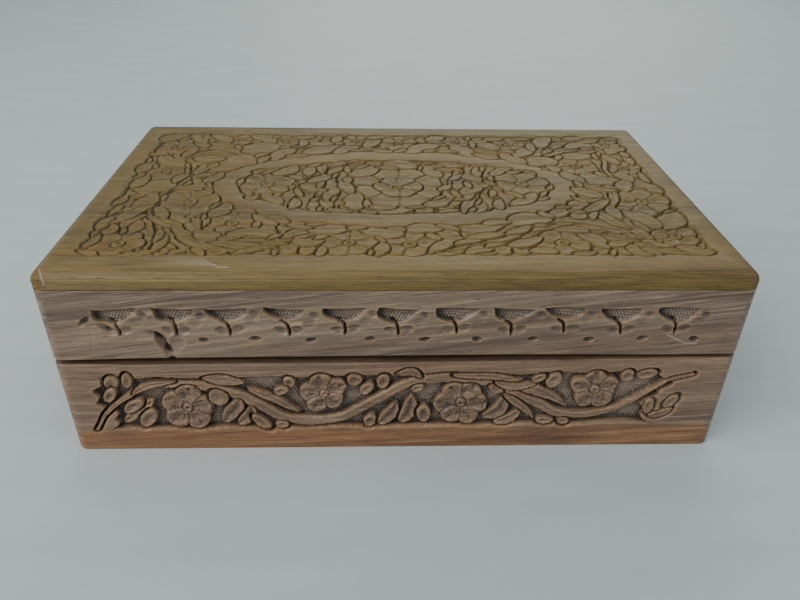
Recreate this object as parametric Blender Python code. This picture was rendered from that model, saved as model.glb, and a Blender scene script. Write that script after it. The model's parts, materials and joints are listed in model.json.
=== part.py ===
"""Carved wooden jewellery box: a base and a hinged lid, each glued up from boards.

Metres, +Z up. The origin is the middle of the underside, and the front faces -Y.
The rims slope a little: the base is lower at its left end (-X) than at its right,
and the lid's rim runs parallel to it.
"""
import math

import bmesh
import bpy
from mathutils import Matrix, Vector

MM = 0.001

# Overall size
BOX_WIDTH = 254 * MM
BOX_DEPTH = 156 * MM
BOX_HEIGHT = 80 * MM

# Boards
WALL = 9 * MM
TOP_BOARD = 6 * MM
BOTTOM_BOARD = 5 * MM
BOTTOM_REBATE = 4.5 * MM
CORNER_RADIUS = 4.5 * MM
TOP_EDGE_RADIUS = 4.2 * MM
ROUND_SEGMENTS = 5
CLEARANCE = 0.3 * MM

# Where the base and the lid part
SPLIT_HEIGHT = 44.0 * MM
SPLIT_RISE = 2.0 * MM
RIM_GAP = 2.2 * MM

# Lining
LINER = 2.2 * MM
FLOOR_PAD = 3.5 * MM
LID_PAD = 3.0 * MM
LINER_STANDS_PROUD = 4.0 * MM
LINERS_APART = 0.8 * MM

# Hinges, in a frame whose X runs along the pin
HINGE_LENGTH = 25 * MM
HINGE_OFFSET = 80 * MM
AXIS_INSET = 2.6 * MM
LEAF = 0.7 * MM
LEAF_REACH = 6.0 * MM
LEAVES_APART = 0.3 * MM
BARREL_RADIUS = 1.7 * MM
BARREL_RELIEF = 0.3 * MM
KNUCKLES = 5
KNUCKLE_GAP = 0.3 * MM
TAB_INSET = 0.04 * MM
PIN_RADIUS = 0.5 * MM
PIN_CLEARANCE = 0.2 * MM
PIN_HEAD_RADIUS = 0.9 * MM
PIN_HEAD = 0.5 * MM
CHAMFER_ANGLE = math.radians(52)
CHAMFER_SETBACK = 0.15 * MM
BARREL_SIDES = 24

# Screws
SCREW_SPACING = 8.5 * MM
SCREW_FROM_AXIS = 3.9 * MM
SCREW_HEAD_RADIUS = 1.6 * MM
SCREW_SHANK_RADIUS = 0.8 * MM
SCREW_LENGTH = 8.0 * MM
SCREW_POINT = 1.2 * MM
SCREW_SUNK = 0.05 * MM
SCREW_CLEARANCE = 0.2 * MM
SCREW_SIDES = 16

# Worked out from the sizes above
HALF_WIDTH = BOX_WIDTH / 2
HALF_DEPTH = BOX_DEPTH / 2
INNER_X = HALF_WIDTH - WALL
INNER_Y = HALF_DEPTH - WALL
SPLIT_SLOPE = SPLIT_RISE / BOX_WIDTH
HINGE_FRAME = (Matrix.Translation((0, HALF_DEPTH - AXIS_INSET, SPLIT_HEIGHT))
               @ Matrix.Rotation(-math.atan(SPLIT_SLOPE), 4, 'Y'))
LID_UNDERSIDE = BOX_HEIGHT - TOP_BOARD
PAST_EDGE = 10 * MM


def level(height):
    """An edge that stays at one height."""
    return lambda x: height


def rim(rise):
    """An edge that follows the sloping split, rise above the middle of its gap."""
    return lambda x: SPLIT_HEIGHT + SPLIT_SLOPE * x + rise


def clear_scene():
    for thing in list(bpy.data.objects):
        bpy.data.objects.remove(thing, do_unlink=True)


def make_material(name, colour, roughness, metallic=0.0):
    material = bpy.data.materials.new(name)
    material.use_nodes = True
    shader = material.node_tree.nodes['Principled BSDF']
    shader.inputs['Base Color'].default_value = (*colour, 1.0)
    shader.inputs['Roughness'].default_value = roughness
    shader.inputs['Metallic'].default_value = metallic
    return material


def make_pivot(name):
    """An empty on the hinge axis, for the pieces that turn about it or are set out from it."""
    pivot = bpy.data.objects.new(name, None)
    pivot.matrix_world = HINGE_FRAME
    bpy.context.collection.objects.link(pivot)
    return pivot


def make_object(name, bm, material=None, pivot=None):
    """Turns a bmesh laid out in world coordinates into an object, hung on pivot if given."""
    bmesh.ops.recalc_face_normals(bm, faces=bm.faces)
    if pivot:
        bm.transform(HINGE_FRAME.inverted())
    mesh = bpy.data.meshes.new(name)
    bm.to_mesh(mesh)
    bm.free()
    thing = bpy.data.objects.new(name, mesh)
    thing.parent = pivot
    bpy.context.collection.objects.link(thing)
    if material:
        mesh.materials.append(material)
    return thing


def make_cutter(name, bm):
    cutter = make_object(name, bm)
    cutter.hide_render = True
    cutter.display_type = 'WIRE'
    return cutter


def shape_with(thing, tools, operation='DIFFERENCE'):
    for tool in tools:
        step = thing.modifiers.new(tool.name, 'BOOLEAN')
        step.operation = operation
        step.object = tool


def add_block(bm, x_range, y_range, bottom, top, frame=Matrix.Identity(4)):
    """A straight-sided block whose lower and upper edges follow bottom(x) and top(x)."""
    plan = [(x_range[0], y_range[0]), (x_range[1], y_range[0]),
            (x_range[1], y_range[1]), (x_range[0], y_range[1])]
    lower = [bm.verts.new(frame @ Vector((x, y, bottom(x)))) for x, y in plan]
    upper = [bm.verts.new(frame @ Vector((x, y, top(x)))) for x, y in plan]
    bm.faces.new(lower[::-1])
    bm.faces.new(upper)
    for this in range(4):
        following = (this + 1) % 4
        bm.faces.new((lower[this], lower[following], upper[following], upper[this]))


def add_turned(bm, profile, sides, frame):
    """A turned solid about local Z. The profile's (radius, height) points start and end
    on the axis."""
    rings = []
    for radius, height in profile:
        count = sides if radius else 1
        turns = [math.tau * step / sides for step in range(count)]
        rings.append([bm.verts.new(frame @ Vector((radius * math.cos(turn),
                                                   radius * math.sin(turn), height)))
                      for turn in turns])
    for lower, upper in zip(rings, rings[1:]):
        for this in range(sides):
            following = (this + 1) % sides
            corners = (lower[this % len(lower)], lower[following % len(lower)],
                       upper[following % len(upper)], upper[this % len(upper)])
            bm.faces.new(list(dict.fromkeys(corners)))


def add_rod(bm, x_range, radius, frame=HINGE_FRAME, sides=BARREL_SIDES):
    """A round rod along the hinge axis, between two places along it."""
    along = frame @ Matrix.Rotation(math.pi / 2, 4, 'Y')
    start, end = x_range
    add_turned(bm, [(0, start), (radius, start), (radius, end), (0, end)], sides, along)


def round_edges(bm, chosen, radius):
    bm.normal_update()
    edges = [edge for edge in bm.edges if chosen(edge)]
    bmesh.ops.bevel(bm, geom=edges, offset=radius, segments=ROUND_SEGMENTS, profile=0.5,
                    affect='EDGES')


def outer_corner(edge):
    """True for an upright edge at one of the box's four outer corners."""
    here, there = (vert.co for vert in edge.verts)
    return ((here - there).xy.length < CLEARANCE
            and abs(abs(here.x) - HALF_WIDTH) < CLEARANCE
            and abs(abs(here.y) - HALF_DEPTH) < CLEARANCE)


def top_perimeter(edge):
    """True for an edge of the top board where its upper face meets its sides."""
    heights = [vert.co.z for vert in edge.verts]
    uprights = [face for face in edge.link_faces if abs(face.normal.z) < 0.5]
    return min(heights) > BOX_HEIGHT - CLEARANCE and len(uprights) == 1


def make_walls(group, bottom, top, wood, pivot):
    """Front and back boards run the full width, and the ends butt between them."""
    walls = {}
    ends = INNER_Y - CLEARANCE
    places = {'front': ((-HALF_WIDTH, HALF_WIDTH), (-HALF_DEPTH, -INNER_Y)),
              'back': ((-HALF_WIDTH, HALF_WIDTH), (INNER_Y, HALF_DEPTH)),
              'left': ((-HALF_WIDTH, -INNER_X), (-ends, ends)),
              'right': ((INNER_X, HALF_WIDTH), (-ends, ends))}
    for side, (x_range, y_range) in places.items():
        bm = bmesh.new()
        add_block(bm, x_range, y_range, bottom, top)
        round_edges(bm, outer_corner, CORNER_RADIUS)
        walls[side] = make_object(f'{group}_{side}_wall', bm, wood, pivot)
    return walls


def make_liners(group, bottom, top, velvet, pivot):
    """Four padded strips against the walls: the long two full length, the ends between."""
    outer_x = INNER_X - CLEARANCE
    outer_y = INNER_Y - CLEARANCE
    ends = outer_y - LINER - CLEARANCE
    places = {'front': ((-outer_x, outer_x), (-outer_y, LINER - outer_y)),
              'back': ((-outer_x, outer_x), (outer_y - LINER, outer_y)),
              'left': ((-outer_x, LINER - outer_x), (-ends, ends)),
              'right': ((outer_x - LINER, outer_x), (-ends, ends))}
    for side, (x_range, y_range) in places.items():
        bm = bmesh.new()
        add_block(bm, x_range, y_range, bottom, top)
        make_object(f'{group}_lining_{side}', bm, velvet, pivot)


def make_pad(name, bottom, thickness, velvet, pivot=None):
    """The flat lining of the floor or of the lid, which fills it from wall to wall."""
    reach_x = INNER_X - CLEARANCE
    reach_y = INNER_Y - CLEARANCE
    bm = bmesh.new()
    add_block(bm, (-reach_x, reach_x), (-reach_y, reach_y), level(bottom),
              level(bottom + thickness))
    make_object(name, bm, velvet, pivot)


def make_base(wood, velvet):
    reach_x = HALF_WIDTH - BOTTOM_REBATE - CLEARANCE
    reach_y = HALF_DEPTH - BOTTOM_REBATE - CLEARANCE
    bm = bmesh.new()
    add_block(bm, (-reach_x, reach_x), (-reach_y, reach_y), level(0), level(BOTTOM_BOARD))
    make_object('base_bottom', bm, wood)

    bm = bmesh.new()
    add_block(bm, (-reach_x - CLEARANCE, reach_x + CLEARANCE),
              (-reach_y - CLEARANCE, reach_y + CLEARANCE),
              level(-PAST_EDGE), level(BOTTOM_BOARD + CLEARANCE))
    rebate = make_cutter('bottom_rebate_cutter', bm)

    walls = make_walls('base', level(0), rim(-RIM_GAP / 2), wood, None)
    for wall in walls.values():
        shape_with(wall, [rebate])

    floor = BOTTOM_BOARD + CLEARANCE
    make_pad('base_lining_floor', floor, FLOOR_PAD, velvet)
    make_liners('base', level(floor + FLOOR_PAD + CLEARANCE),
                rim(LINER_STANDS_PROUD - RIM_GAP / 2), velvet, None)
    return walls['back']


def make_lid(wood, velvet, pivot):
    bm = bmesh.new()
    add_block(bm, (-HALF_WIDTH, HALF_WIDTH), (-HALF_DEPTH, HALF_DEPTH),
              level(LID_UNDERSIDE), level(BOX_HEIGHT))
    round_edges(bm, outer_corner, CORNER_RADIUS)
    round_edges(bm, top_perimeter, TOP_EDGE_RADIUS)
    make_object('lid_top_board', bm, wood, pivot)

    ceiling = LID_UNDERSIDE - CLEARANCE
    walls = make_walls('lid', rim(RIM_GAP / 2), level(ceiling), wood, pivot)
    make_pad('lid_lining_panel', ceiling - LID_PAD, LID_PAD, velvet, pivot)
    make_liners('lid', rim(LINER_STANDS_PROUD - RIM_GAP / 2 + LINERS_APART),
                level(ceiling - LID_PAD - CLEARANCE), velvet, pivot)
    return walls['back']


def screw_frames(side):
    """Where the three screws of one leaf of each hinge go: +Z leaves the wood."""
    for hinge in (-1, 1):
        for place in (-1, 0, 1):
            x = hinge * HINGE_OFFSET + place * SCREW_SPACING
            upright = Matrix.Diagonal((1, 1, -side, 1))
            yield HINGE_FRAME @ Matrix.Translation((x, -SCREW_FROM_AXIS, 0)) @ upright


def screw_profile(grown, head_top):
    """Point, shank and countersunk head, from the tip up, grown outwards all round."""
    head = SCREW_HEAD_RADIUS + grown
    shank = SCREW_SHANK_RADIUS + grown
    cone_top = -(LEAVES_APART / 2 + SCREW_SUNK)
    tip = cone_top - SCREW_LENGTH - grown
    return [(0, tip), (shank, tip + SCREW_POINT), (shank, cone_top - (head - shank)),
            (head, cone_top), (head, head_top), (0, head_top)]


def chamfer_cutter(name, side):
    """Takes off the rim behind the axis, so that the lid can swing back."""
    slope = math.tan(CHAMFER_ANGLE)
    setback = CHAMFER_SETBACK / math.cos(CHAMFER_ANGLE)
    bm = bmesh.new()
    reach = HALF_WIDTH + PAST_EDGE
    near, far = LEAVES_APART, PAST_EDGE
    outline = [(near, setback + near * slope), (far, setback + far * slope), (far, 0), (near, 0)]
    ends = []
    for x in (-reach, reach):
        ends.append([bm.verts.new(HINGE_FRAME @ Vector((x, y, side * z))) for y, z in outline])
    bm.faces.new(ends[0])
    bm.faces.new(ends[1][::-1])
    for this in range(4):
        following = (this + 1) % 4
        bm.faces.new((ends[0][this], ends[0][following], ends[1][following], ends[1][this]))
    return make_cutter(name, bm)


def make_rim_cutters():
    """Hollows that both back walls get for the barrels."""
    bm = bmesh.new()
    reach = HINGE_LENGTH / 2 + PIN_HEAD + 3 * KNUCKLE_GAP
    for hinge in (-1, 1):
        middle = hinge * HINGE_OFFSET
        add_rod(bm, (middle - reach, middle + reach), BARREL_RADIUS + BARREL_RELIEF)
    return make_cutter('barrel_hollow_cutter', bm)


def make_screw_cutter(name, side):
    bm = bmesh.new()
    for frame in screw_frames(side):
        add_turned(bm, screw_profile(SCREW_CLEARANCE, 0), SCREW_SIDES, frame)
    return make_cutter(name, bm)


def knuckle_spans(owner):
    """Ends along the barrel of the knuckles of one leaf: the base's are 0, 2 and 4."""
    pitch = HINGE_LENGTH / KNUCKLES
    for knuckle in range(owner, KNUCKLES, 2):
        start = -HINGE_LENGTH / 2 + knuckle * pitch
        yield start + KNUCKLE_GAP / 2, start + pitch - KNUCKLE_GAP / 2


def make_leaf(name, middle, side, owner, screw_holes, brass, pivot):
    """A plate on the rim, tabs from it into its own knuckles, and a bore for the pin."""
    frame = HINGE_FRAME @ Matrix.Translation((middle, 0, 0))
    inner, outer = side * LEAVES_APART / 2, side * (LEAVES_APART / 2 + LEAF)
    low, high = min(inner, outer), max(inner, outer)
    plate_edge = -(BARREL_RADIUS + BARREL_RELIEF)
    half = HINGE_LENGTH / 2

    bm = bmesh.new()
    add_block(bm, (-half, half), (-LEAF_REACH, plate_edge), level(low), level(high), frame)
    leaf = make_object(name, bm, brass, pivot)

    bm = bmesh.new()
    for start, end in knuckle_spans(owner):
        add_block(bm, (start + TAB_INSET, end - TAB_INSET),
                  (plate_edge - KNUCKLE_GAP, KNUCKLE_GAP - BARREL_RADIUS),
                  level(low + TAB_INSET), level(high - TAB_INSET), frame)
    tabs = make_cutter(f'{name}_tabs', bm)

    bm = bmesh.new()
    for start, end in knuckle_spans(owner):
        add_rod(bm, (start, end), BARREL_RADIUS, frame)
    barrel = make_cutter(f'{name}_barrel', bm)

    bm = bmesh.new()
    add_rod(bm, (-HINGE_LENGTH, HINGE_LENGTH), PIN_RADIUS + PIN_CLEARANCE, frame)
    bore = make_cutter(f'{name}_bore', bm)

    shape_with(leaf, [tabs, barrel], 'UNION')
    shape_with(leaf, [bore, screw_holes])


def make_pin(name, middle, brass, pivot):
    """A plain pin with a flat head at each end, just clear of the barrel."""
    near = HINGE_LENGTH / 2 + KNUCKLE_GAP
    far = near + PIN_HEAD
    profile = [(0, -far), (PIN_HEAD_RADIUS, -far), (PIN_HEAD_RADIUS, -near), (PIN_RADIUS, -near),
               (PIN_RADIUS, near), (PIN_HEAD_RADIUS, near), (PIN_HEAD_RADIUS, far), (0, far)]
    bm = bmesh.new()
    add_turned(bm, profile, BARREL_SIDES,
               HINGE_FRAME @ Matrix.Translation((middle, 0, 0))
               @ Matrix.Rotation(math.pi / 2, 4, 'Y'))
    make_object(name, bm, brass, pivot)


def make_screws(group, side, brass, pivot):
    head_top = -(LEAVES_APART / 2 + SCREW_SUNK)
    for number, frame in enumerate(screw_frames(side), start=1):
        bm = bmesh.new()
        profile = screw_profile(0, head_top)
        add_turned(bm, profile[:4] + profile[5:], SCREW_SIDES, frame)
        make_object(f'{group}_hinge_screw_{number}', bm, brass, pivot)


def make_hinges(base_wall, lid_wall, brass, base_pivot, lid_pivot):
    hollow = make_rim_cutters()
    leaves = (('base', -1, 0, base_wall, base_pivot), ('lid', 1, 1, lid_wall, lid_pivot))
    for group, side, owner, wall, pivot in leaves:
        screw_holes = make_screw_cutter(f'{group}_screw_hole_cutter', side)
        shape_with(wall, [chamfer_cutter(f'{group}_chamfer_cutter', side), hollow, screw_holes])
        for hand, hinge in (('left', -1), ('right', 1)):
            make_leaf(f'hinge_{hand}_{group}_leaf', hinge * HINGE_OFFSET, side, owner,
                      screw_holes, brass, pivot)
        make_screws(group, side, brass, pivot)
    for hand, hinge in (('left', -1), ('right', 1)):
        make_pin(f'hinge_{hand}_pin', hinge * HINGE_OFFSET, brass, base_pivot)


def main():
    clear_scene()
    wood = make_material('carved_wood', (0.150, 0.082, 0.048), 0.5)
    velvet = make_material('velvet', (0.090, 0.008, 0.014), 0.9)
    brass = make_material('brass', (0.55, 0.38, 0.14), 0.35, 1.0)
    base_pivot = make_pivot('hinge_axis_on_base')
    lid_pivot = make_pivot('lid_pivot')
    base_wall = make_base(wood, velvet)
    lid_wall = make_lid(wood, velvet, lid_pivot)
    make_hinges(base_wall, lid_wall, brass, base_pivot, lid_pivot)


main()
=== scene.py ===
import json
import math

import bpy
import numpy as np
from mathutils import Matrix, Vector


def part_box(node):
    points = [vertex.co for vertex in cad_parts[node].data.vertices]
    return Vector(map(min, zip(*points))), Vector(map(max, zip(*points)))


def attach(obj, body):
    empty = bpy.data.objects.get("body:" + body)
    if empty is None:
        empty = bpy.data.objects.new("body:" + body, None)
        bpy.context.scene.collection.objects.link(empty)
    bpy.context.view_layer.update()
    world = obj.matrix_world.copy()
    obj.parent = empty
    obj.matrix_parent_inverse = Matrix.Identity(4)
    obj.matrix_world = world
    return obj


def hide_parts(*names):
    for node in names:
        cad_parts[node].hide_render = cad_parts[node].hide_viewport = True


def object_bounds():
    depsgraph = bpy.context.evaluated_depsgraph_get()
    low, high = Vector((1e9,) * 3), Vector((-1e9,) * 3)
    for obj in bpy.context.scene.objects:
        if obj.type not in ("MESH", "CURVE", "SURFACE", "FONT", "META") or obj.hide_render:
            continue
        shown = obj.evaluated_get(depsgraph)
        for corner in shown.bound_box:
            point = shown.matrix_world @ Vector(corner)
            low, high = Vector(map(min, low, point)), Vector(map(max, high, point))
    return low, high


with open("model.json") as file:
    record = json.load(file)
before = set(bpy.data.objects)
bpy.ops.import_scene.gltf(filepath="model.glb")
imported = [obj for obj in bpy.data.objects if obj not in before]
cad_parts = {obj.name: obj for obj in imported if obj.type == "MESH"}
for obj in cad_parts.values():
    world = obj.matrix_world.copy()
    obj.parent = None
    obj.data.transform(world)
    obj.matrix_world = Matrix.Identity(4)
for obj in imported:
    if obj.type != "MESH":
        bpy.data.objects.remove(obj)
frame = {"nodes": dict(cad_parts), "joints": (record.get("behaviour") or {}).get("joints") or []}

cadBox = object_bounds()
mm = 0.001
print("frame loaded:", len(frame["nodes"]), "nodes")


# small helpers

def deselectAll():
    if bpy.context.object and bpy.context.object.mode != 'OBJECT':
        bpy.ops.object.mode_set(mode='OBJECT')
    bpy.ops.object.select_all(action='DESELECT')


def pick(thing):
    deselectAll()
    thing.select_set(True)
    bpy.context.view_layer.objects.active = thing


def applyModifiers(thing):
    pick(thing)
    for modifier in list(thing.modifiers):
        bpy.ops.object.modifier_apply(modifier=modifier.name)


def settle(thing):
    # the place goes into the mesh, so that the object sits at the origin
    pick(thing)
    bpy.ops.object.transform_apply(location=True, rotation=True, scale=True)


def smooth(thing, degrees):
    # faces that meet at less than this angle are shaded as one surface
    pick(thing)
    bpy.ops.object.shade_smooth_by_angle(angle=math.radians(degrees))


def smoothLine(points, count):
    # a smooth line through a few given points
    points = np.array(points, float)
    if len(points) == 2:
        share = np.linspace(0, 1, count)[:, None]
        return points[0] * (1 - share) + points[1] * share
    guides = np.vstack([2 * points[0] - points[1], points, 2 * points[-1] - points[-2]])
    place = np.linspace(0, len(points) - 1.000001, count)
    first = place.astype(int)
    t = (place - first)[:, None]
    a, b, c, d = (guides[first + k] for k in range(4))
    return 0.5 * (2 * b + (c - a) * t + (2 * a - 5 * b + 4 * c - d) * t ** 2
                  + (3 * b - a - 3 * c + d) * t ** 3)


def ramp(value, low, high):
    share = np.clip((value - low) / (high - low), 0, 1)
    return share * share * (3 - 2 * share)


def blur(values, passes):
    for _ in range(passes):
        for axis in (0, 1):
            padded = np.pad(values, [(1, 1) if axis == k else (0, 0) for k in (0, 1)], mode='edge')
            low = padded[:-2, :] if axis == 0 else padded[:, :-2]
            high = padded[2:, :] if axis == 0 else padded[:, 2:]
            values = (low + 2 * values + high) / 4
    return values


# relief carving: every tool works on a depth map in millimetres

def newRelief(x, y, wobble=0.35):
    # hand work is never quite true, so the pattern lies on slightly bent coordinates
    bentX = x + wobble * (np.sin(0.19 * y + 0.7 + 1.1 * np.sin(0.11 * x))
                          + 0.5 * np.sin(0.53 * x + 0.31 * y))
    bentY = y + wobble * (np.sin(0.17 * x + 1.9 + 1.2 * np.sin(0.13 * y))
                          + 0.5 * np.sin(0.47 * y - 0.29 * x))
    return {'x': bentX, 'y': bentY, 'trueX': x, 'trueY': y,
            'columns': x[x.shape[0] // 2], 'rows': y[:, x.shape[1] // 2],
            'depth': np.zeros_like(x), 'ground': np.zeros_like(x), 'scratch': np.zeros_like(x)}


def window(relief, low, high):
    # the part of the sheet that a motif touches
    margin = 2.5
    columns = np.nonzero((relief['columns'] > low[0] - margin) & (relief['columns'] < high[0] + margin))[0]
    rows = np.nonzero((relief['rows'] > low[1] - margin) & (relief['rows'] < high[1] + margin))[0]
    if len(columns) < 2 or len(rows) < 2:
        return None
    return slice(rows[0], rows[-1] + 1), slice(columns[0], columns[-1] + 1)


def sinkGround(relief, part, distance, depth, wall):
    # takes the ground down to depth, with a steep wall round it
    share = ramp(-distance, 0, wall)
    relief['depth'][part] = np.maximum(relief['depth'][part], depth * share)
    relief['ground'][part] = np.maximum(relief['ground'][part], share)


def stand(relief, part, distance, top, gap=0.7, gapDepth=1.5, wall=0.55):
    # the motif keeps its wood: a narrow gap is cut round it, and its own surface lies at top
    around = ramp(distance, -0.15, 0.1) * (1 - ramp(distance, gap * 0.6, gap + 0.5))
    cut = np.maximum(relief['depth'][part], gapDepth * around)
    cover = ramp(-distance, -wall / 2, wall / 2)
    relief['depth'][part] = cut * (1 - cover) + top * cover
    relief['ground'][part] *= 1 - cover


def follow(relief, line, radii, reach):
    # distance to a stroke of changing width, with the place along it and across it
    radii = np.broadcast_to(radii, len(line))
    wide = radii.max() + reach
    part = window(relief, line.min(0) - wide, line.max(0) + wide)
    if part is None:
        return None
    x, y = relief['x'][part], relief['y'][part]
    tangent = np.gradient(line, axis=0)
    tangent /= np.linalg.norm(tangent, axis=1)[:, None] + 1e-9
    distance = np.full(x.shape, 1e9)
    along = np.zeros(x.shape)
    across = np.zeros(x.shape)
    for k, ((px, py), radius) in enumerate(zip(line, radii)):
        away = np.hypot(x - px, y - py) - radius
        nearer = away < distance
        distance = np.where(nearer, away, distance)
        along = np.where(nearer, k / (len(line) - 1), along)
        side = (y - py) * tangent[k, 0] - (x - px) * tangent[k, 1]
        across = np.where(nearer, side, across)
    return part, distance, along, across


def groove(relief, points, width, depth, count=40, taper=0.15):
    # one pass of a V tool
    line = smoothLine(points, count)
    found = follow(relief, line, 0.0, width)
    if found is None:
        return
    part, distance, along, _ = found
    lift = ramp(along, 0, taper) * (1 - ramp(along, 1 - taper, 1)) * 0.75 + 0.25
    share = np.clip(1 - distance / (width / 2 * lift), 0, 1)
    relief['depth'][part] += depth * share * lift


def scoop(relief, place, size, turn, depth, steep=0.0):
    # one cut of a round gouge; steep drives one end in deeper than the other
    reach = max(size)
    part = window(relief, np.array(place) - reach, np.array(place) + reach)
    if part is None:
        return
    x, y = relief['x'][part] - place[0], relief['y'][part] - place[1]
    c, s = math.cos(math.radians(turn)), math.sin(math.radians(turn))
    u, v = (x * c + y * s) / size[0], (-x * s + y * c) / size[1]
    bowl = np.clip(1 - u * u - v * v, 0, 1) ** 0.6
    relief['depth'][part] += depth * bowl * (1 + steep * np.clip(u, -1, 1))


def stem(relief, points, radius, top=0.25, count=120, gapDepth=1.6, tips=(0.5, 0.5), vein=0.0):
    # a rounded stalk that thins towards its tips
    line = smoothLine(points, count)
    t = np.linspace(0, 1, count)
    radii = radius * (tips[0] + (1 - tips[0]) * ramp(t, 0, 0.25)) * (1 - (1 - tips[1]) * ramp(t, 0.7, 1))
    found = follow(relief, line, radii, 3)
    if found is None:
        return
    part, distance, _, across = found
    crown = 0.35 * np.abs(np.clip(across / radius, -1, 1)) ** 3
    stand(relief, part, distance, top + crown, gapDepth=gapDepth)
    if vein:
        relief['depth'][part] += vein * np.clip(1 - np.abs(across) / 0.35, 0, 1) * (distance < 0)


def leaf(relief, points, width, top=0.1, fold=0.7, gap=0.7, gapDepth=1.7, veins=0, fat=0.4):
    # pointed at both ends; its halves slope down to the middle vein
    count = 44
    line = smoothLine(points, count)
    t = np.linspace(0, 1, count)
    radii = width / 2 * np.sin(math.pi * np.clip(t, 0.0, 1.0) ** (0.5 + fat)) ** 0.8 + 0.12
    found = follow(relief, line, radii, 3)
    if found is None:
        return
    part, distance, along, across = found
    half = np.maximum(width / 2 * np.sin(math.pi * np.clip(along, 0.02, 0.98) ** (0.5 + fat)) ** 0.8, 0.3)
    fromVein = np.clip(np.abs(across) / half, 0, 1)
    surface = top + fold * (1 - fromVein) ** 1.3 + 0.25 * fromVein ** 4
    if veins:
        ribs = np.sin(veins * math.pi * 2 * (along - 0.12 * fromVein))
        surface = surface + 0.16 * np.clip(ribs, -0.2, 1) * fromVein
    stand(relief, part, distance, surface, gap, gapDepth)


def bud(relief, place, size, turn, top=0.15, dish=0.7, gapDepth=1.7):
    # one loose petal or berry with a thumbnail cut in it
    reach = max(size)
    part = window(relief, np.array(place) - reach - 2, np.array(place) + reach + 2)
    if part is None:
        return
    x, y = relief['x'][part] - place[0], relief['y'][part] - place[1]
    c, s = math.cos(math.radians(turn)), math.sin(math.radians(turn))
    u, v = (x * c + y * s), (-x * s + y * c)
    outwards = np.hypot(u / size[0], v / size[1])
    distance = (outwards - 1) * min(size)
    cut = np.clip(1 - np.hypot((u + 0.15 * size[0]) / (0.7 * size[0]), v / (0.62 * size[1])), 0, 1)
    stand(relief, part, distance, top + 0.35 * outwards ** 3 + dish * cut ** 0.7, gapDepth=gapDepth)


def flower(relief, place, radius, petals=5, turn=90, top=0.12, dish=0.8, heart=0.2, gapDepth=1.7,
           ringed=True, flat=1.0, cleft=0.6):
    # round petals about a drilled heart; each petal is dished with one gouge cut
    reach = radius + 2
    part = window(relief, np.array(place) - reach, np.array(place) + reach)
    if part is None:
        return
    x, y = relief['x'][part] - place[0], (relief['y'][part] - place[1]) / flat
    r = np.hypot(x, y)
    sector = 2 * math.pi / petals
    angle = np.arctan2(y, x) - math.radians(turn)
    number = np.round(angle / sector)
    off = angle - number * sector
    grown = 1 + 0.07 * np.sin(2.3 * number + place[0])      # no two petals are quite the same
    lobe = min(radius * math.sin(sector / 2) * 1.12, radius * 0.48)
    centre = (radius - lobe) * grown
    u, v = r * np.cos(off), r * np.sin(off)
    fromLobe = np.hypot(u - centre, v)
    distance = np.minimum(fromLobe - lobe, r - radius * 0.5)
    lean = 0.22 * lobe * np.sin(1.7 * number + 0.6 * place[0])
    inner = np.clip(1 - np.hypot((u - centre * 0.92) / (lobe * 0.95), (v - lean) / (lobe * 0.62)), 0, 1)
    surface = top + dish * inner ** 0.75 + 0.35 * np.clip(fromLobe / lobe, 0, 1) ** 4
    between = np.abs(np.sin(sector / 2 - np.abs(off)) * r)
    valley = np.clip(1 - between / 0.65, 0, 1) * ramp(r, radius * heart, radius * (heart + 0.12))
    surface = surface + cleft * valley
    core = radius * heart
    if ringed:
        surface = np.where(r < core * 1.5, top + 0.15 + 0.5 * (r / core) ** 2 * 0.5, surface)
        surface = surface + 0.8 * np.clip(1 - np.abs(r - core * 1.25) / 0.45, 0, 1)
        surface = surface + 1.0 * np.clip(1 - r / (core * 0.55), 0, 1) ** 0.5
    stand(relief, part, distance, surface, gapDepth=gapDepth)


def stippleGround(relief, pitch, depth):
    # rows of bead marks punched into the ground that is left between the motifs
    x, y = relief['trueX'], relief['trueY']
    shift = 0.5 * (np.floor(y / pitch) % 2)
    marks = np.sin(math.pi * (x / pitch + shift)) ** 2 * np.sin(math.pi * y / pitch) ** 2
    roomy = ramp(blur(relief['ground'], 14), 0.45, 0.9)
    relief['depth'] += relief['ground'] * roomy * depth * (1 - 1.7 * marks)
    relief['ground'] *= roomy * (0.25 + 0.75 * marks)


def chiselMarks(relief, size, depth):
    # flat facets that the tool leaves wherever it has worked below the face
    x, y = relief['x'], relief['y']
    worked = ramp(relief['depth'], 0.02, 0.35)
    facets = np.zeros_like(x)
    for turn, pitch in ((0.5, 1.0), (1.9, 1.3), (2.8, 0.8)):
        stroke = (x * math.cos(turn) + y * math.sin(turn)) / (size * pitch)
        stroke = stroke + 0.6 * np.sin(0.7 * x + turn * y)
        facets += np.abs(stroke % 1 - 0.5)
    relief['depth'] += worked * depth * (facets - 0.75)


def scratch(relief, points, width=0.5):
    # a pale hairline in the wax
    line = smoothLine(points, 120)
    found = follow(relief, line, 0.0, width)
    if found:
        part, distance, _, _ = found
        share = np.clip(1 - distance / width, 0, 1)
        relief['depth'][part] += 0.08 * share
        relief['scratch'][part] = np.maximum(relief['scratch'][part], 0.6 * share)


def openSpace(free, cell):
    # distance in millimetres from every free cell to the nearest one that is taken
    reach = np.where(free, 99.0, 0.0)
    reach[0], reach[-1], reach[:, 0], reach[:, -1] = 0, 0, 0, 0
    for _ in range(14):
        for rows, columns, length in ((1, 0, 1.0), (-1, 0, 1.0), (0, 1, 1.0), (0, -1, 1.0),
                                      (1, 1, 1.41), (-1, 1, 1.41), (1, -1, 1.41), (-1, -1, 1.41)):
            reach = np.minimum(reach, np.roll(reach, (rows, columns), (0, 1)) + length * cell)
    return reach


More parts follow.
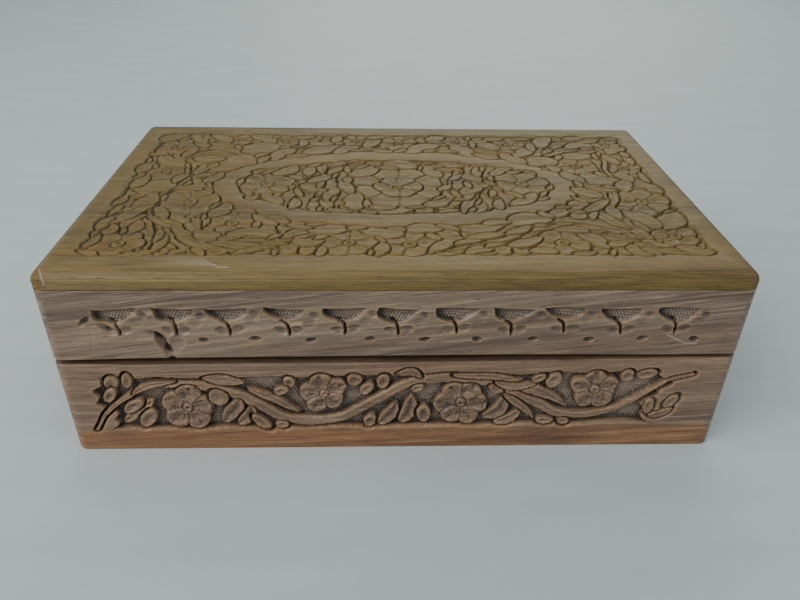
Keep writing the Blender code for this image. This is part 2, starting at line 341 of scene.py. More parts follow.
def fillHollows(relief, filler):
    # a carver leaves no bare ground: each hollow left gets a petal as long and wide as it has room
    skip = max(1, int(round(filler['lookEvery'] / abs(relief['columns'][1] - relief['columns'][0]))))
    cell = abs(relief['columns'][skip] - relief['columns'][0])
    for k in range(filler['most']):
        free = relief['ground'][::skip, ::skip] > 0.5
        space = openSpace(free, cell)
        row, column = np.unravel_index(space.argmax(), space.shape)
        room = space[row, column]
        if room < filler['least']:
            break
        middle = np.array((relief['x'][row * skip, column * skip], relief['y'][row * skip, column * skip]))
        best = (0, 0, 0)
        for turn in np.arange(0, 180, 15) + 7 * (k % 3):
            step = np.array((math.cos(math.radians(turn)), math.sin(math.radians(turn))))
            lengths = []
            for way in (-1, 1):
                far = 0
                while far < filler['longest']:
                    r = int(round(row + way * step[1] * far / cell))
                    c = int(round(column + way * step[0] * far / cell))
                    if not (0 <= r < free.shape[0] and 0 <= c < free.shape[1] and free[r, c]):
                        break
                    far += cell
                lengths.append(far)
            if sum(lengths) > best[0]:
                best = (sum(lengths), turn, (lengths[1] - lengths[0]) / 2)
        length, turn, shift = best
        step = np.array((math.cos(math.radians(turn)), math.sin(math.radians(turn))))
        place = middle + step * shift * 0.5
        wide = max(room - filler['gap'] / 2, 0.55)
        halfLong = min(max(length / 2 - filler['gap'], wide), 3.4 * wide)
        if halfLong > 1.45 * wide:
            bend = np.array((-step[1], step[0])) * wide * (0.35 if k % 2 else -0.35)
            leaf(relief, [place - step * halfLong, place + bend, place + step * halfLong], 2.0 * wide,
                 fold=0.30 + 0.1 * (k % 3), gapDepth=filler['gapDepth'])
        else:
            bud(relief, place, (halfLong, wide), turn, dish=0.35 + 0.12 * (k % 3),
                gapDepth=filler['gapDepth'])
    print("filled", k, "hollows")


def finishRelief(relief, step):
    # what the finish needs to know: how hollow each place is, which drives the painted shade and grime in
    # recesses, and how proud each place is
    deepest = 3.2
    depth = relief['depth'] = np.clip(relief['depth'], 0, deepest)
    near = blur(depth, max(2, int(round((0.8 / step) ** 2))))
    wide = blur(near, max(4, int(round((1.8 / step) ** 2))))
    # the recess measure that the material turns into painted shade and grime
    relief['hollow'] = np.clip((depth - wide) / 1.0, 0, 1)
    relief['proud'] = np.clip((near - depth) / 0.45, 0, 1) * np.clip(1.3 - depth / 1.2, 0, 1)


# the box's own measures, in millimetres, from the frame

lidHinge = frame["joints"][0]
slope = lidHinge["axis"][2] / lidHinge["axis"][0]
halfWidth, halfDepth, height = cadBox[1] / mm
splitMiddle = lidHinge["pos_m"][2] / mm
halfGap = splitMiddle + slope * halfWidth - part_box("base_front_wall")[1].z / mm
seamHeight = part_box("lid_top_board")[0].z / mm
wallThick = halfWidth - abs(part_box("base_right_wall")[0].x / mm)
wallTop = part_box("lid_front_wall")[1].z / mm


def split(x):
    return splitMiddle + slope * x


def closing(x):
    # the long boards have cupped a little, so the gap is wide in the middle and narrow at the ends
    return 0.85 * ramp(x, 30, 118) + 0.55 * ramp(-x, 90, 124) - 0.35


# sheets: a grid wrapped over a board's outer side, carved, then closed

carvedSmooth = 38


def wallSheet(wall, step):
    # columns run along the board and round its ends, rows run up it
    radius, thick, ease = wall['cornerRadius'], wall['thick'], wall['ease']
    flat = wall['length'] / 2 - radius
    arc = radius * math.pi / 2
    shortOfBack = 0.3
    reach = flat + arc + thick - radius - shortOfBack
    s = np.linspace(-reach, reach, int(2 * reach / step) + 1)
    beyond = np.clip(np.abs(s) - flat, 0, None)
    turn = np.clip(beyond / radius, 0, math.pi / 2)
    straight = np.clip(beyond - arc, 0, None)
    a = np.sign(s) * (np.minimum(np.abs(s), flat) + radius * np.sin(turn))
    b = radius * (1 - np.cos(turn)) + straight
    na, nb = np.sign(s) * np.sin(turn), np.cos(turn)
    low, high = wall['bottom'](a * wall['sign']), wall['top'](a * wall['sign'])
    tall = float((high - low).max())
    t = np.linspace(0, 1, int(tall / step) + 1)[:, None]
    quarter = ease * math.pi / 2
    run = (high - low)[None, :] - 2 * ease + 2 * quarter
    q = t * run
    foot = np.clip(q / ease, 0, math.pi / 2)
    head = np.clip((run - q) / ease, 0, math.pi / 2)
    z = np.where(q < run / 2, low + ease * (1 - np.cos(foot)) + np.clip(q - quarter, 0, None),
                 high - ease * (1 - np.cos(head)) - np.clip(run - q - quarter, 0, None))
    inset = ease * (1 - np.sin(np.minimum(foot, head)))
    grow = np.ones_like(z)
    sheet = {'s': s * grow, 'y': z - wall['datum'](a * wall['sign'])}
    # painted shade: the rim face that lies in the gap between lid and base is darkened in the colour
    rimShadeStrength = 0.55
    sheet['grimy'] = rimShadeStrength * ramp(np.cos(head if wall['shadedRim'] == 'top' else foot), 0.25, 0.9)
    along, outward = Vector(wall['along']), Vector(wall['outward'])
    origin = Vector(wall['origin'])
    a, b, na, nb = (value * grow for value in (a, b, na, nb))
    sheet['place'] = np.stack([origin[k] + along[k] * (a - inset * na) - outward[k] * (b + inset * nb)
                               for k in range(3)], axis=-1)
    sheet['place'][..., 2] += z
    sheet['normal'] = np.stack([along[k] * na + outward[k] * nb for k in range(3)], axis=-1)
    return sheet


def topSheet(top, step):
    # the top board: flat, and rolled over on all four edges, with ball corners
    radius = top['edgeRadius']
    arc = radius * math.pi / 2

    def rolled(half):
        flat = half - radius
        s = np.linspace(-flat - arc, flat + arc, int(2 * (flat + arc) / step) + 1)
        turn = np.clip(np.abs(s) - flat, 0, None) / radius
        return s, np.clip(s, -flat, flat), np.sign(s) * np.minimum(turn, math.pi / 2 - 1e-4)

    s, flatX, turnX = rolled(top['halfWidth'])
    t, flatY, turnY = rolled(top['halfDepth'])
    nx, ny = np.meshgrid(np.tan(turnX), np.tan(turnY))
    size = np.sqrt(nx * nx + ny * ny + 1)
    nx, ny, nz = nx / size, ny / size, 1 / size
    x, y = np.meshgrid(flatX, flatY)
    place = np.stack([x + radius * nx, y + radius * ny, top['height'] - radius * (1 - nz)], axis=-1)
    wideS, wideT = np.meshgrid(s, t)
    return {'s': wideS, 'y': wideT, 'place': place, 'normal': np.stack([nx, ny, nz], axis=-1)}


def closeSheet(piece, known, axis, value):
    # draws the rim of an open sheet back to a flat face, and closes the piece there
    bpy.ops.object.mode_set(mode='EDIT')
    bpy.ops.mesh.select_mode(type='EDGE')
    bpy.ops.mesh.select_all(action='DESELECT')
    bpy.ops.mesh.select_non_manifold()
    bpy.ops.mesh.extrude_edges_move()
    bpy.ops.object.mode_set(mode='OBJECT')
    where = np.empty(len(piece.data.vertices) * 3, np.float32)
    piece.data.vertices.foreach_get("co", where)
    where = where.reshape(-1, 3)
    rim = where[known:] / mm
    rim[:, axis] = value
    where[known:] = rim * mm
    piece.data.vertices.foreach_set("co", where.reshape(-1))
    bpy.ops.object.mode_set(mode='EDIT')
    bpy.ops.mesh.edge_face_add()
    bpy.ops.mesh.select_all(action='SELECT')
    bpy.ops.mesh.normals_make_consistent(inside=False)
    bpy.ops.object.mode_set(mode='OBJECT')


def carvedPiece(name, sheet, relief, axis, back, budget):
    # lays the grid on the carved sheet, closes the board at its back face, and thins it
    rows, columns = sheet['s'].shape
    deselectAll()
    bpy.ops.mesh.primitive_grid_add(x_subdivisions=columns - 1, y_subdivisions=rows - 1, size=1)
    piece = bpy.context.object
    piece.name = piece.data.name = name
    place = (sheet['place'] - sheet['normal'] * relief['depth'][..., None]) * mm
    piece.data.vertices.foreach_set("co", place.reshape(-1).astype(np.float32))
    for mark in ('hollow', 'proud', 'ground', 'scratch'):
        layer = piece.data.attributes.new(mark, 'FLOAT', 'POINT')
        layer.data.foreach_set("value", relief[mark].reshape(-1).astype(np.float32))
    closeSheet(piece, rows * columns, axis, back)
    triangles = 2 * len(piece.data.polygons)
    if triangles > budget:
        thin = piece.modifiers.new("thin", 'DECIMATE')
        thin.ratio = budget / triangles
        applyModifiers(piece)
    smooth(piece, carvedSmooth)
    print("carved", name, len(piece.data.polygons), "faces")
    return piece


def carveStep(fine):
    return fine


# the carver's patterns

def carveTop(relief):
    field = {'halfX': 115.0, 'halfY': 63.0, 'deep': 1.5}
    x, y = relief['x'], relief['y']
    everywhere = (slice(None), slice(None))
    border = np.maximum(np.abs(relief['trueX']) - field['halfX'], np.abs(relief['trueY']) - field['halfY'])
    sinkGround(relief, everywhere, border, field['deep'], wall=0.9)

    # the plain oval band
    def oval(halfX, halfY):
        outwards = np.hypot(x / halfX, (y - 0.5) / halfY)
        return (outwards - 1) * halfX * halfY / np.hypot(halfY * x / halfX / outwards.clip(0.05),
                                                         halfX * (y - 0.5) / halfY / outwards.clip(0.05))
    band = np.maximum(oval(79, 40.5), -oval(68.5, 29.5))
    stand(relief, everywhere, band, 0.15 + 0.25 * np.clip(1 + band / 4.5, 0, 1) ** 2, gapDepth=1.9)

    # inside the oval: a big double flower in a wreath, and a flower at each end
    for side in (-1, 1):
        stem(relief, [(side * 3, -27.5), (side * 20, -24), (side * 33, -12), (side * 43, 1)], 1.3)
        stem(relief, [(side * 4, 28), (side * 20, 25), (side * 33, 15), (side * 43, 5)], 1.2)
        leaf(relief, [(side * 33, -12), (side * 29, -20), (side * 27, -28)], 4.6)
        leaf(relief, [(side * 36, -8), (side * 39, -16), (side * 37, -25)], 5.5)
        leaf(relief, [(side * 42, -3), (side * 47, -14), (side * 46, -21)], 5.5)
        leaf(relief, [(side * 33, 13), (side * 34, 21), (side * 30, 27)], 5.0)
        leaf(relief, [(side * 40, 8), (side * 44, 17), (side * 41, 23)], 5.0)
        leaf(relief, [(side * 30, -8), (side * 27, 2), (side * 31, 11)], 5.5, veins=5)
        leaf(relief, [(side * 25, -17), (side * 22, -10), (side * 24, -3)], 4.2)
        leaf(relief, [(side * 25, 18), (side * 22.5, 10), (side * 25, 3)], 4.2)
        bud(relief, (side * 37, 2), (3.0, 4.4), 80)
        bud(relief, (side * 20, -22.5), (3.4, 2.6), side * 30)
        bud(relief, (side * 19, 22), (3.4, 2.6), side * -30)
        bud(relief, (side * 11, -25.5), (3.6, 2.4), 0)
        bud(relief, (side * 10, 25.5), (3.6, 2.4), 0)
        bud(relief, (side * 61, -13), (3.0, 2.4), side * 40)
        bud(relief, (side * 61, 15), (3.0, 2.4), side * -40)
    flower(relief, (-55.5, 1), 12.0, petals=6, turn=20, flat=1.05)
    flower(relief, (56.0, 2.5), 12.4, petals=6, turn=75, flat=1.05)
    flower(relief, (1, -1), 20.0, petals=8, turn=22, dish=0.7, heart=0.1, flat=1.05, ringed=False)
    flower(relief, (1, -1), 10.5, petals=6, turn=0, dish=0.8, heart=0.18)

    # outside the oval, front: flowers on a running stem, leaves sweeping in from both corners
    stem(relief, [(-99, -27), (-91, -40), (-80, -49), (-62, -52), (-44, -51), (-28, -47)], 1.2)
    stem(relief, [(101, -40), (88, -46), (72, -39), (58, -40), (44, -48), (28, -55), (17, -60)], 1.3)
    leaf(relief, [(-98, -30), (-96, -43), (-91, -62)], 5.0)
    leaf(relief, [(-90, -42), (-82, -52), (-74, -62)], 4.6)
    leaf(relief, [(-84, -47), (-73, -54), (-57, -60)], 5.6)
    leaf(relief, [(-70, -52), (-58, -56), (-44, -57)], 4.0)
    leaf(relief, [(-98, -31), (-88, -38), (-80, -41)], 4.8)
    leaf(relief, [(-99, -30), (-104, -37), (-106, -44)], 4.4)
    leaf(relief, [(-77, -45), (-80, -37), (-79, -30)], 5.6)
    flower(relief, (-103.5, -54), 9.8, turn=60)
    bud(relief, (-84, -58), (4.2, 3.0), -35)
    bud(relief, (-66, -60.5), (4.0, 2.0), 0)
    bud(relief, (-110, -42), (3.4, 4.4), 15)
    bud(relief, (-109.5, -30), (3.4, 4.6), 20)
    bud(relief, (-110, -19), (3.2, 4.4), 5)
    bud(relief, (-111, -8), (2.8, 4.2), 0)
    flower(relief, (-85, -18), 12.2, petals=6, turn=15, flat=1.12)
    flower(relief, (-65, -37), 10.2, turn=110)
    bud(relief, (-50, -41), (3.6, 4.6), 20)
    bud(relief, (-43, -40), (3.6, 4.4), -15)
    bud(relief, (-40.5, -58), (4.2, 4.0), 60)
    bud(relief, (-33.5, -58.5), (3.2, 4.2), 0)
    bud(relief, (-49, -61), (3.6, 1.9), 0)
    leaf(relief, [(-45, -50), (-38, -44), (-31, -43)], 4.6)
    flower(relief, (-18.5, -53.5), 10.6, petals=6, turn=0)
    flower(relief, (3.5, -54), 10.2, turn=75)
    bud(relief, (18.5, -47.5), (4.2, 4.6), 40)
    bud(relief, (26.5, -45.5), (3.4, 3.8), 0)
    leaf(relief, [(16, -61), (24, -59), (33, -53)], 3.6)
    bud(relief, (38, -58.5), (3.6, 3.8), 20)
    bud(relief, (45.5, -58), (3.4, 4.2), -30)
    leaf(relief, [(33, -45), (40, -43), (47, -38)], 4.6)
    flower(relief, (61, -53.0), 10.2, turn=50)
    bud(relief, (75, -58.5), (3.6, 3.4), 30)
    bud(relief, (83, -59), (4.0, 3.2), -20)
    leaf(relief, [(72, -44), (82, -49), (92, -52)], 4.4)
    leaf(relief, [(88, -53), (98, -59), (110, -62)], 4.6)
    leaf(relief, [(58, -36), (72, -33), (86, -41), (99, -51)], 5.2)
    flower(relief, (106, -47), 9.4, turn=30)
    leaf(relief, [(97, -52), (91, -40), (93, -28)], 5.0)
    leaf(relief, [(90, -42), (84, -32), (85, -22)], 5.0)
    bud(relief, (66, -27), (5.2, 3.6), 35)
    bud(relief, (75, -19), (4.6, 4.2), 60)
    bud(relief, (74, -29), (4.0, 3.2), 0)
    bud(relief, (82.5, -12), (3.6, 4.8), 70)
    flower(relief, (103.5, -16), 11.6, petals=6, turn=80, flat=1.1)
    bud(relief, (91, -10), (3.2, 4.6), 15)
    leaf(relief, [(86, -22), (92, -14), (93, -3)], 4.4)
    bud(relief, (86.5, 1), (3.4, 4.6), 80)

    # the left and right ends, and the back, where the pattern comes round again
    stem(relief, [(-99, -27), (-98, -10), (-91, 4), (-92, 22), (-99, 36)], 1.1)
    flower(relief, (-103, 14), 9.0, turn=100, flat=1.1)
    bud(relief, (-85, 3), (3.4, 4.4), 60)
    bud(relief, (-84, 13), (3.2, 4.2), 100)
    flower(relief, (-105, 46), 9.2, turn=70, flat=1.15)
    bud(relief, (-110, 30), (3.4, 4.2), 0)
    leaf(relief, [(-97, 30), (-88, 25), (-79, 25)], 5.0)
    leaf(relief, [(-97, 33), (-86, 38), (-75, 36)], 5.4)
    leaf(relief, [(-96, 40), (-84, 46), (-62, 31)], 5.2)
    leaf(relief, [(-95, 60), (-88, 52), (-78, 50), (-66, 52)], 4.6)
    flower(relief, (-76, 57), 6.6, turn=90)
    bud(relief, (-92, 56), (3.6, 3.0), 30)
    stem(relief, [(-62, 33), (-48, 47), (-28, 49), (-6, 46), (16, 52), (40, 48), (58, 38)], 1.2)
    flower(relief, (-54, 55), 7.6, turn=20)
    bud(relief, (-41, 57), (3.6, 4.6), -20)
    bud(relief, (-33, 57.5), (3.4, 4.4), 20)
    bud(relief, (-45, 41), (4.8, 3.0), 15)
    flower(relief, (-19, 56), 7.4, petals=6, turn=0)
    flower(relief, (2, 53.5), 9.4, petals=6, turn=20)
    bud(relief, (-13, 44.5), (4.4, 2.6), -5)
    bud(relief, (15, 58), (4.0, 3.8), 0)
    flower(relief, (31, 56), 7.4, turn=45)
    bud(relief, (24, 45.5), (4.4, 2.8), 5)
    bud(relief, (43, 57), (4.0, 4.4), 30)
    leaf(relief, [(36, 47), (46, 42), (53, 36)], 4.4)
    flower(relief, (57, 52), 8.8, petals=6, turn=10)
    leaf(relief, [(62, 33), (70, 40), (74, 50)], 4.8)
    bud(relief, (68, 58), (4.0, 3.2), 0)
    flower(relief, (85, 24), 10.4, petals=6, turn=40, flat=1.1)
    leaf(relief, [(72, 36), (82, 44), (96, 45)], 5.0)
    leaf(relief, [(74, 48), (86, 55), (99, 56)], 4.4)
    leaf(relief, [(93, 36), (97, 27), (96, 14)], 4.8)
    stem(relief, [(99, 50), (101, 36), (98, 20), (100, 4)], 1.1)
    flower(relief, (108, 22), 6.8, turn=90, flat=1.2)
    bud(relief, (110, 7), (3.4, 4.4), 0)
    bud(relief, (109, 37), (3.6, 4.6), 10)
    flower(relief, (107, 54), 7.4, turn=40)
    bud(relief, (84, 60), (4.4, 2.4), 0)
    fillHollows(relief, {'most': 280, 'lookEvery': 0.7, 'least': 0.95, 'gap': 0.8, 'longest': 10.0,
                         'gapDepth': 1.25})
    chiselMarks(relief, 2.4, 0.16)

    scratch(relief, [(-124, -73), (-121.5, -79.5)], 0.45)
    scratch(relief, [(-66, -70.5), (-64, -72.5), (-60, -73)], 0.4)
    # a scribed line where the border was struck, a little past the corners
    for side in (-1, 1):
        groove(relief, [(-116, side * 63.6), (116, side * 63.6)], 0.8, 0.5, count=300, taper=0.02)
        groove(relief, [(side * 115.6, -64), (side * 115.6, 64)], 0.8, 0.5, count=160, taper=0.02)


def carveLidFrieze(relief, reach, count, chipped=False):
    # a row of hanging petals, cut free of each other by half-round pockets with a slit below
    unit = {'pitch': 20.0, 'wide': 7.6, 'top': -7.6, 'deep': 5.9}
    first = -unit['pitch'] * (count - 1) / 2 - 0.6
    for k in range(count):
        middle = first + unit['pitch'] * k + 0.7 * math.sin(2.1 * k)
        low, high = np.array((middle - 10, -20)), np.array((middle + 10, -6))
        part = window(relief, low, high)
        x, y = relief['x'][part] - middle, relief['y'][part]
        fall = unit['top'] - y
        lean = x + (0.22 + 0.12 * math.sin(2.9 * k)) * fall + 0.5 * np.sin(0.9 * y + k)
        wide = unit['wide'] * (1 + 0.10 * math.sin(3.1 * k + 0.5))
        deep = unit['deep'] * (1 + 0.14 * math.sin(1.3 * k + 1))
        pocket = np.maximum(-fall, (np.hypot(lean / wide, fall / deep) - 1) * deep)
        slopeDown = 2.8 - 2.0 * np.clip((x + wide) / (1.6 * wide), 0, 1)
        sinkGround(relief, part, pocket, slopeDown, wall=0.6)
        slit = [(middle - 3.4, -12.4), (middle - 0.6, -14.2), (middle + 0.1, -16.5), (middle + 0.5, -19.8)]
        groove(relief, slit, 1.5, 2.3, count=30)
        scoop(relief, (middle - 2.6, -17.0), (1.6, 2.5), 70, 0.9)
        scoop(relief, (middle + 3.0, -16.6), (1.7, 2.7), 105, 0.9)
        scoop(relief, (middle + 9.6, -10.4), (1.5, 1.9), 70, 0.8)
        scoop(relief, (middle + 7.6, -13.4), (2.0, 2.6), 120, 0.35)
        if not (chipped and k == 0):
            bead = (middle + 9.0 + 0.8 * math.sin(1.7 * k), -20.9)
            scoop(relief, bead, (2.1, 1.15), 6 * math.sin(5 * k), 1.7)
    if chipped:
        scratch(relief, [(98, -19.6), (104, -22.4), (110, -22.8)], 0.3)
        # a slip of the gouge between the first two petals
        scoop(relief, (-87.4, -19.4), (4.6, 1.7), -24, 1.5, steep=0.5)
        scoop(relief, (-85.2, -22.6), (5.4, 1.8), -58, 2.3, steep=0.2)
        scoop(relief, (-83.4, -26.8), (3.4, 1.5), -70, 1.4, steep=-0.3)
        scoop(relief, (-79.8, -22.2), (4.8, 2.8), 62, 0.8)
        scoop(relief, (-111.5, -12.6), (3.2, 1.2), 42, 1.3)
        scoop(relief, (-104.5, -15.5), (3.0, 1.4), -35, 1.2)
    groove(relief, [(-reach, -22.0), (reach, -22.0)], 0.5, 0.28, count=260, taper=0.02)
    groove(relief, [(-reach + 3, -11.0), (-reach + 2, -27.0)], 0.5, 0.25)
    chiselMarks(relief, 1.8, 0.16)
    stippleGround(relief, 1.15, 0.5)


def fiveBlades(relief, place, radius, turn, petals=5):
    # the big flowers of the base: cupped petals with a hollow behind each tip
    flower(relief, place, radius, petals=petals, turn=turn, top=0.1, dish=1.15, heart=0.17, gapDepth=2.6)
    for k in range(petals):
        a = math.radians(turn) + k * 2 * math.pi / petals
        tip = (place[0] + 0.80 * radius * math.cos(a), place[1] + 0.80 * radius * math.sin(a))
        scoop(relief, tip, (1.4, 1.0), math.degrees(a), 0.75)
        flank = (place[0] + 0.52 * radius * math.cos(a + 0.35),
                 place[1] + 0.52 * radius * math.sin(a + 0.35))
        scoop(relief, flank, (2.0, 0.7), math.degrees(a) + 25, 0.6)
    scoop(relief, (place[0] + 0.93 * radius, place[1] + 0.05 * radius), (3.4, 1.2), 78, 1.4)
    scoop(relief, (place[0] + 0.45 * radius, place[1] + 0.78 * radius), (2.6, 1.0), -30, 1.0)


def carveBaseFront(relief):
    vine = {'radius': 2.1, 'deep': 2.8}
    everywhere = (slice(None), slice(None))
    x, y = relief['x'], relief['y']
    # the ground is sunk round the vine and stops short in soft fingers at both ends
    edge = 2.2 * np.sin(0.33 * y + 0.4) + 1.4 * np.sin(0.9 * y)
    leftEnd = -(x + 113 + edge) + 3.2 * ramp(-y, 16, 28)
    rightEnd = x - 98 - edge - 9 * ramp(-y, 4, 16) * ramp(y, -20, -8)
    block = np.maximum(np.abs(y + 18.9) - 12.9, np.maximum(leftEnd, rightEnd))
    sinkGround(relief, everywhere, block, vine['deep'], wall=0.8)

    line = [(-117, -31.5), (-110, -21), (-100, -13.5), (-90, -10), (-79, -9.6), (-69, -11.8), (-59, -16.5),
            (-50, -23), (-40, -27.5), (-24, -27.6), (-11, -20), (2, -10.5), (14, -8.2), (28, -9), (40, -13),
            (52, -20), (61, -25.5), (72, -27.2), (84, -24.6), (94, -18.5), (103, -11), (112, -7.6)]
    stem(relief, line, vine['radius'], top=0.05, count=420, gapDepth=2.8, tips=(0.3, 0.25), vein=0.35)

    # first hollow of the vine
    leaf(relief, [(-101, -14), (-94, -10.4), (-84, -8.6)], 2.2, gapDepth=2.4)
    bud(relief, (-107.5, -8.4), (3.4, 2.6), 60, dish=1.1, gapDepth=2.4)
    bud(relief, (-101.5, -7.6), (3.4, 2.2), 75, dish=1.1, gapDepth=2.4)
    bud(relief, (-109.5, -14.8), (4.0, 2.3), 55, dish=1.1, gapDepth=2.4)
    leaf(relief, [(-106, -28.5), (-99, -22), (-93.5, -17.5)], 5.4, fold=1.1, gapDepth=2.6)
    bud(relief, (-96.5, -26.5), (4.8, 2.9), 60, dish=1.2, gapDepth=2.6)
    bud(relief, (-101.5, -20.0), (4.6, 2.6), 40, dish=1.2, gapDepth=2.6)
    fiveBlades(relief, (-80.6, -21.0), 10.6, 84)
    bud(relief, (-68.6, -16.0), (3.4, 4.4), 30, dish=1.2, gapDepth=2.6)
    leaf(relief, [(-68, -28.8), (-63, -22.5), (-61, -17.5)], 6.4, fold=1.2, gapDepth=2.8)
    leaf(relief, [(-62, -30.4), (-57.5, -25.5), (-56.5, -21.5)], 5.2, fold=1.1, gapDepth=2.8)
    bud(relief, (-53.0, -29.0), (4.6, 2.3), -38, dish=1.1, gapDepth=2.6)
    bud(relief, (-45.2, -30.0), (2.6, 1.9), 0, dish=1.0, gapDepth=2.2)
    # above it
    leaf(relief, [(-74, -6.6), (-66, -7.6), (-58.6, -9.4)], 4.4, fold=0.6, gapDepth=2.2)
    leaf(relief, [(-58, -12.5), (-48, -17.6), (-38, -23.5)], 3.4, fold=0.7, gapDepth=2.6)
    bud(relief, (-41.5, -9.0), (2.8, 2.4), 70, dish=1.1, gapDepth=2.6)
    bud(relief, (-45.0, -13.5), (3.0, 2.0), 20, dish=1.0, gapDepth=2.4)
    fiveBlades(relief, (-29.0, -14.6), 9.4, 100)
    bud(relief, (-17.2, -8.6), (2.8, 3.2), 80, dish=1.1, gapDepth=2.6)
    bud(relief, (-6.5, -9.4), (3.6, 2.6), 70, dish=1.1, gapDepth=2.6)
    bud(relief, (-12.5, -13.2), (3.2, 2.2), 50, dish=1.1, gapDepth=2.6)

    # second hollow
    bud(relief, (-11.0, -28.4), (3.2, 2.4), 55, dish=1.2, gapDepth=2.4)
    leaf(relief, [(-8, -30.2), (-3.2, -25.5), (-1.0, -19.5)], 5.4, fold=1.2, gapDepth=2.8)
    leaf(relief, [(1.0, -30.0), (4.0, -24.0), (4.4, -16.4)], 6.2, fold=1.2, gapDepth=2.8)
    bud(relief, (9.6, -25.6), (4.6, 2.6), 100, dish=1.2, gapDepth=2.6)
    bud(relief, (6.6, -12.6), (3.0, 1.8), 20, dish=1.0, gapDepth=2.4)
    fiveBlades(relief, (23.8, -20.6), 10.6, 60, petals=6)
    leaf(relief, [(33.5, -27.0), (39.5, -24.0), (41.5, -16.4)], 5.8, fold=1.2, gapDepth=2.8)
    leaf(relief, [(37.5, -30.6), (43.5, -29.0), (48.0, -24.4)], 4.6, fold=1.0, gapDepth=2.6)
    bud(relief, (37.0, -13.4), (3.0, 2.0), -20, dish=1.0, gapDepth=2.4)
    leaf(relief, [(40, -16.0), (48, -22.5), (54, -29.6)], 3.2, fold=0.7, gapDepth=2.6)
    bud(relief, (58.0, -30.0), (3.6, 1.8), 0, dish=1.0, gapDepth=2.2)
    bud(relief, (65.5, -30.4), (2.6, 1.7), 0, dish=1.0, gapDepth=2.2)
    # above it
    leaf(relief, [(-1.5, -5.6), (5.0, -4.6), (8.6, -7.2)], 3.0, fold=0.5, gapDepth=2.2)
    leaf(relief, [(20, -7.2), (34, -7.4), (47, -9.2)], 3.0, fold=0.5, gapDepth=2.2)
    leaf(relief, [(42, -11.4), (54, -15.6), (66, -23.0)], 4.2, fold=0.8, gapDepth=2.6)
    leaf(relief, [(36, -10.4), (44, -12.4), (52, -12.0)], 3.2, fold=0.7, gapDepth=2.4)
    bud(relief, (58.6, -10.2), (3.8, 2.8), 65, dish=1.2, gapDepth=2.6)
    bud(relief, (52.8, -9.0), (3.0, 2.0), 20, dish=1.0, gapDepth=2.4)
    fiveBlades(relief, (75.0, -14.6), 9.6, 90)
    bud(relief, (86.6, -8.4), (2.8, 2.8), 60, dish=1.1, gapDepth=2.4)
    bud(relief, (94.0, -8.2), (3.8, 2.4), 10, dish=1.1, gapDepth=2.4)

    # last hollow, hardly cut
    bud(relief, (98.4, -24.0), (3.4, 2.2), 80, dish=0.9, gapDepth=1.6)
    bud(relief, (106.6, -21.4), (3.6, 2.2), 55, dish=0.9, gapDepth=1.6)
    leaf(relief, [(99, -28.5), (104, -27.4), (108, -24.6)], 2.8, fold=0.7, gapDepth=1.6)
    chiselMarks(relief, 1.7, 0.42)
    stippleGround(relief, 1.15, 0.55)
    groove(relief, [(-118, -5.6), (126, -5.9)], 0.6, 0.6, count=300, taper=0.02)
    groove(relief, [(-122, -31.9), (126, -31.9)], 0.7, 0.7, count=300, taper=0.02)


def carveBaseEnd(relief, reach):
    # the ends repeat one and a half waves of the vine, with a flower in each hollow
    everywhere = (slice(None), slice(None))
    x, y = relief['x'], relief['y']
    block = np.maximum(np.abs(y + 18.9) - 12.9, np.abs(x) - reach - 1.5 * np.sin(0.5 * y))
    sinkGround(relief, everywhere, block, 2.6, wall=0.8)
    stem(relief, [(-reach - 1, -31), (-52, -18), (-40, -10), (-28, -11), (-14, -20), (0, -27), (14, -20),
                  (28, -11), (40, -9.5), (52, -16), (reach + 1, -28)], 1.6, top=0.05, count=260,
         gapDepth=2.8, tips=(0.3, 0.3), vein=0.5)
    for side in (-1, 1):
        fiveBlades(relief, (side * 38, -22.0), 9.4, 90)
        leaf(relief, [(side * 29, -29), (side * 23, -25), (side * 21, -19)], 5.6, fold=1.1, gapDepth=2.7)
        leaf(relief, [(side * 50, -29), (side * 52, -24), (side * 49, -18)], 4.6, fold=1.0, gapDepth=2.7)
        bud(relief, (side * 17, -28.6), (4.0, 2.4), side * 30, dish=1.1, gapDepth=2.5)
        bud(relief, (side * 15, -11.0), (3.8, 2.8), side * 60, dish=1.1, gapDepth=2.5)
        leaf(relief, [(side * 31, -7.2), (side * 22, -8.0), (side * 16, -7.4)], 2.8, fold=0.5, gapDepth=2.2)
        bud(relief, (side * 50, -9.0), (3.8, 2.6), side * 40, dish=1.1, gapDepth=2.4)
    fiveBlades(relief, (0, -14.0), 8.2, 90)
    chiselMarks(relief, 1.7, 0.42)
    stippleGround(relief, 1.15, 0.55)
    for line in (-5.6, -31.9):
        groove(relief, [(-reach - 7, line), (reach + 7, line)], 0.6, 0.6, count=200, taper=0.02)


# finishes

def newMaterial(name):
    material = bpy.data.materials.new(name)
    material.use_nodes = True
    material.node_tree.nodes.clear()
    shader = material.node_tree.nodes.new('ShaderNodeBsdfPrincipled')
    out = material.node_tree.nodes.new('ShaderNodeOutputMaterial')
    material.node_tree.links.new(shader.outputs['BSDF'], out.inputs['Surface'])
    return material, shader


def addNode(material, kind, sockets, **settings):
    # a node with its settings, and each socket given a number, a colour or another node's output
    node = material.node_tree.nodes.new(kind)
    for name, value in settings.items():
        setattr(node, name, value)
    for name, value in sockets.items():
        if isinstance(value, bpy.types.NodeSocket):
            material.node_tree.links.new(value, node.inputs[name])
        else:
            node.inputs[name].default_value = value
    return node


def connect(material, output, socket):
    material.node_tree.links.new(output, socket)


def placed(material, scale, turn=(0, 0, 0), shift=(0, 0, 0)):
    where = addNode(material, 'ShaderNodeTexCoord', {})
    turned = addNode(material, 'ShaderNodeMapping', {'Vector': where.outputs['Object'], 'Rotation': turn,
                                                     'Location': shift})
    return addNode(material, 'ShaderNodeMapping', {'Vector': turned.outputs['Vector'],
                                                   'Scale': scale}).outputs['Vector']


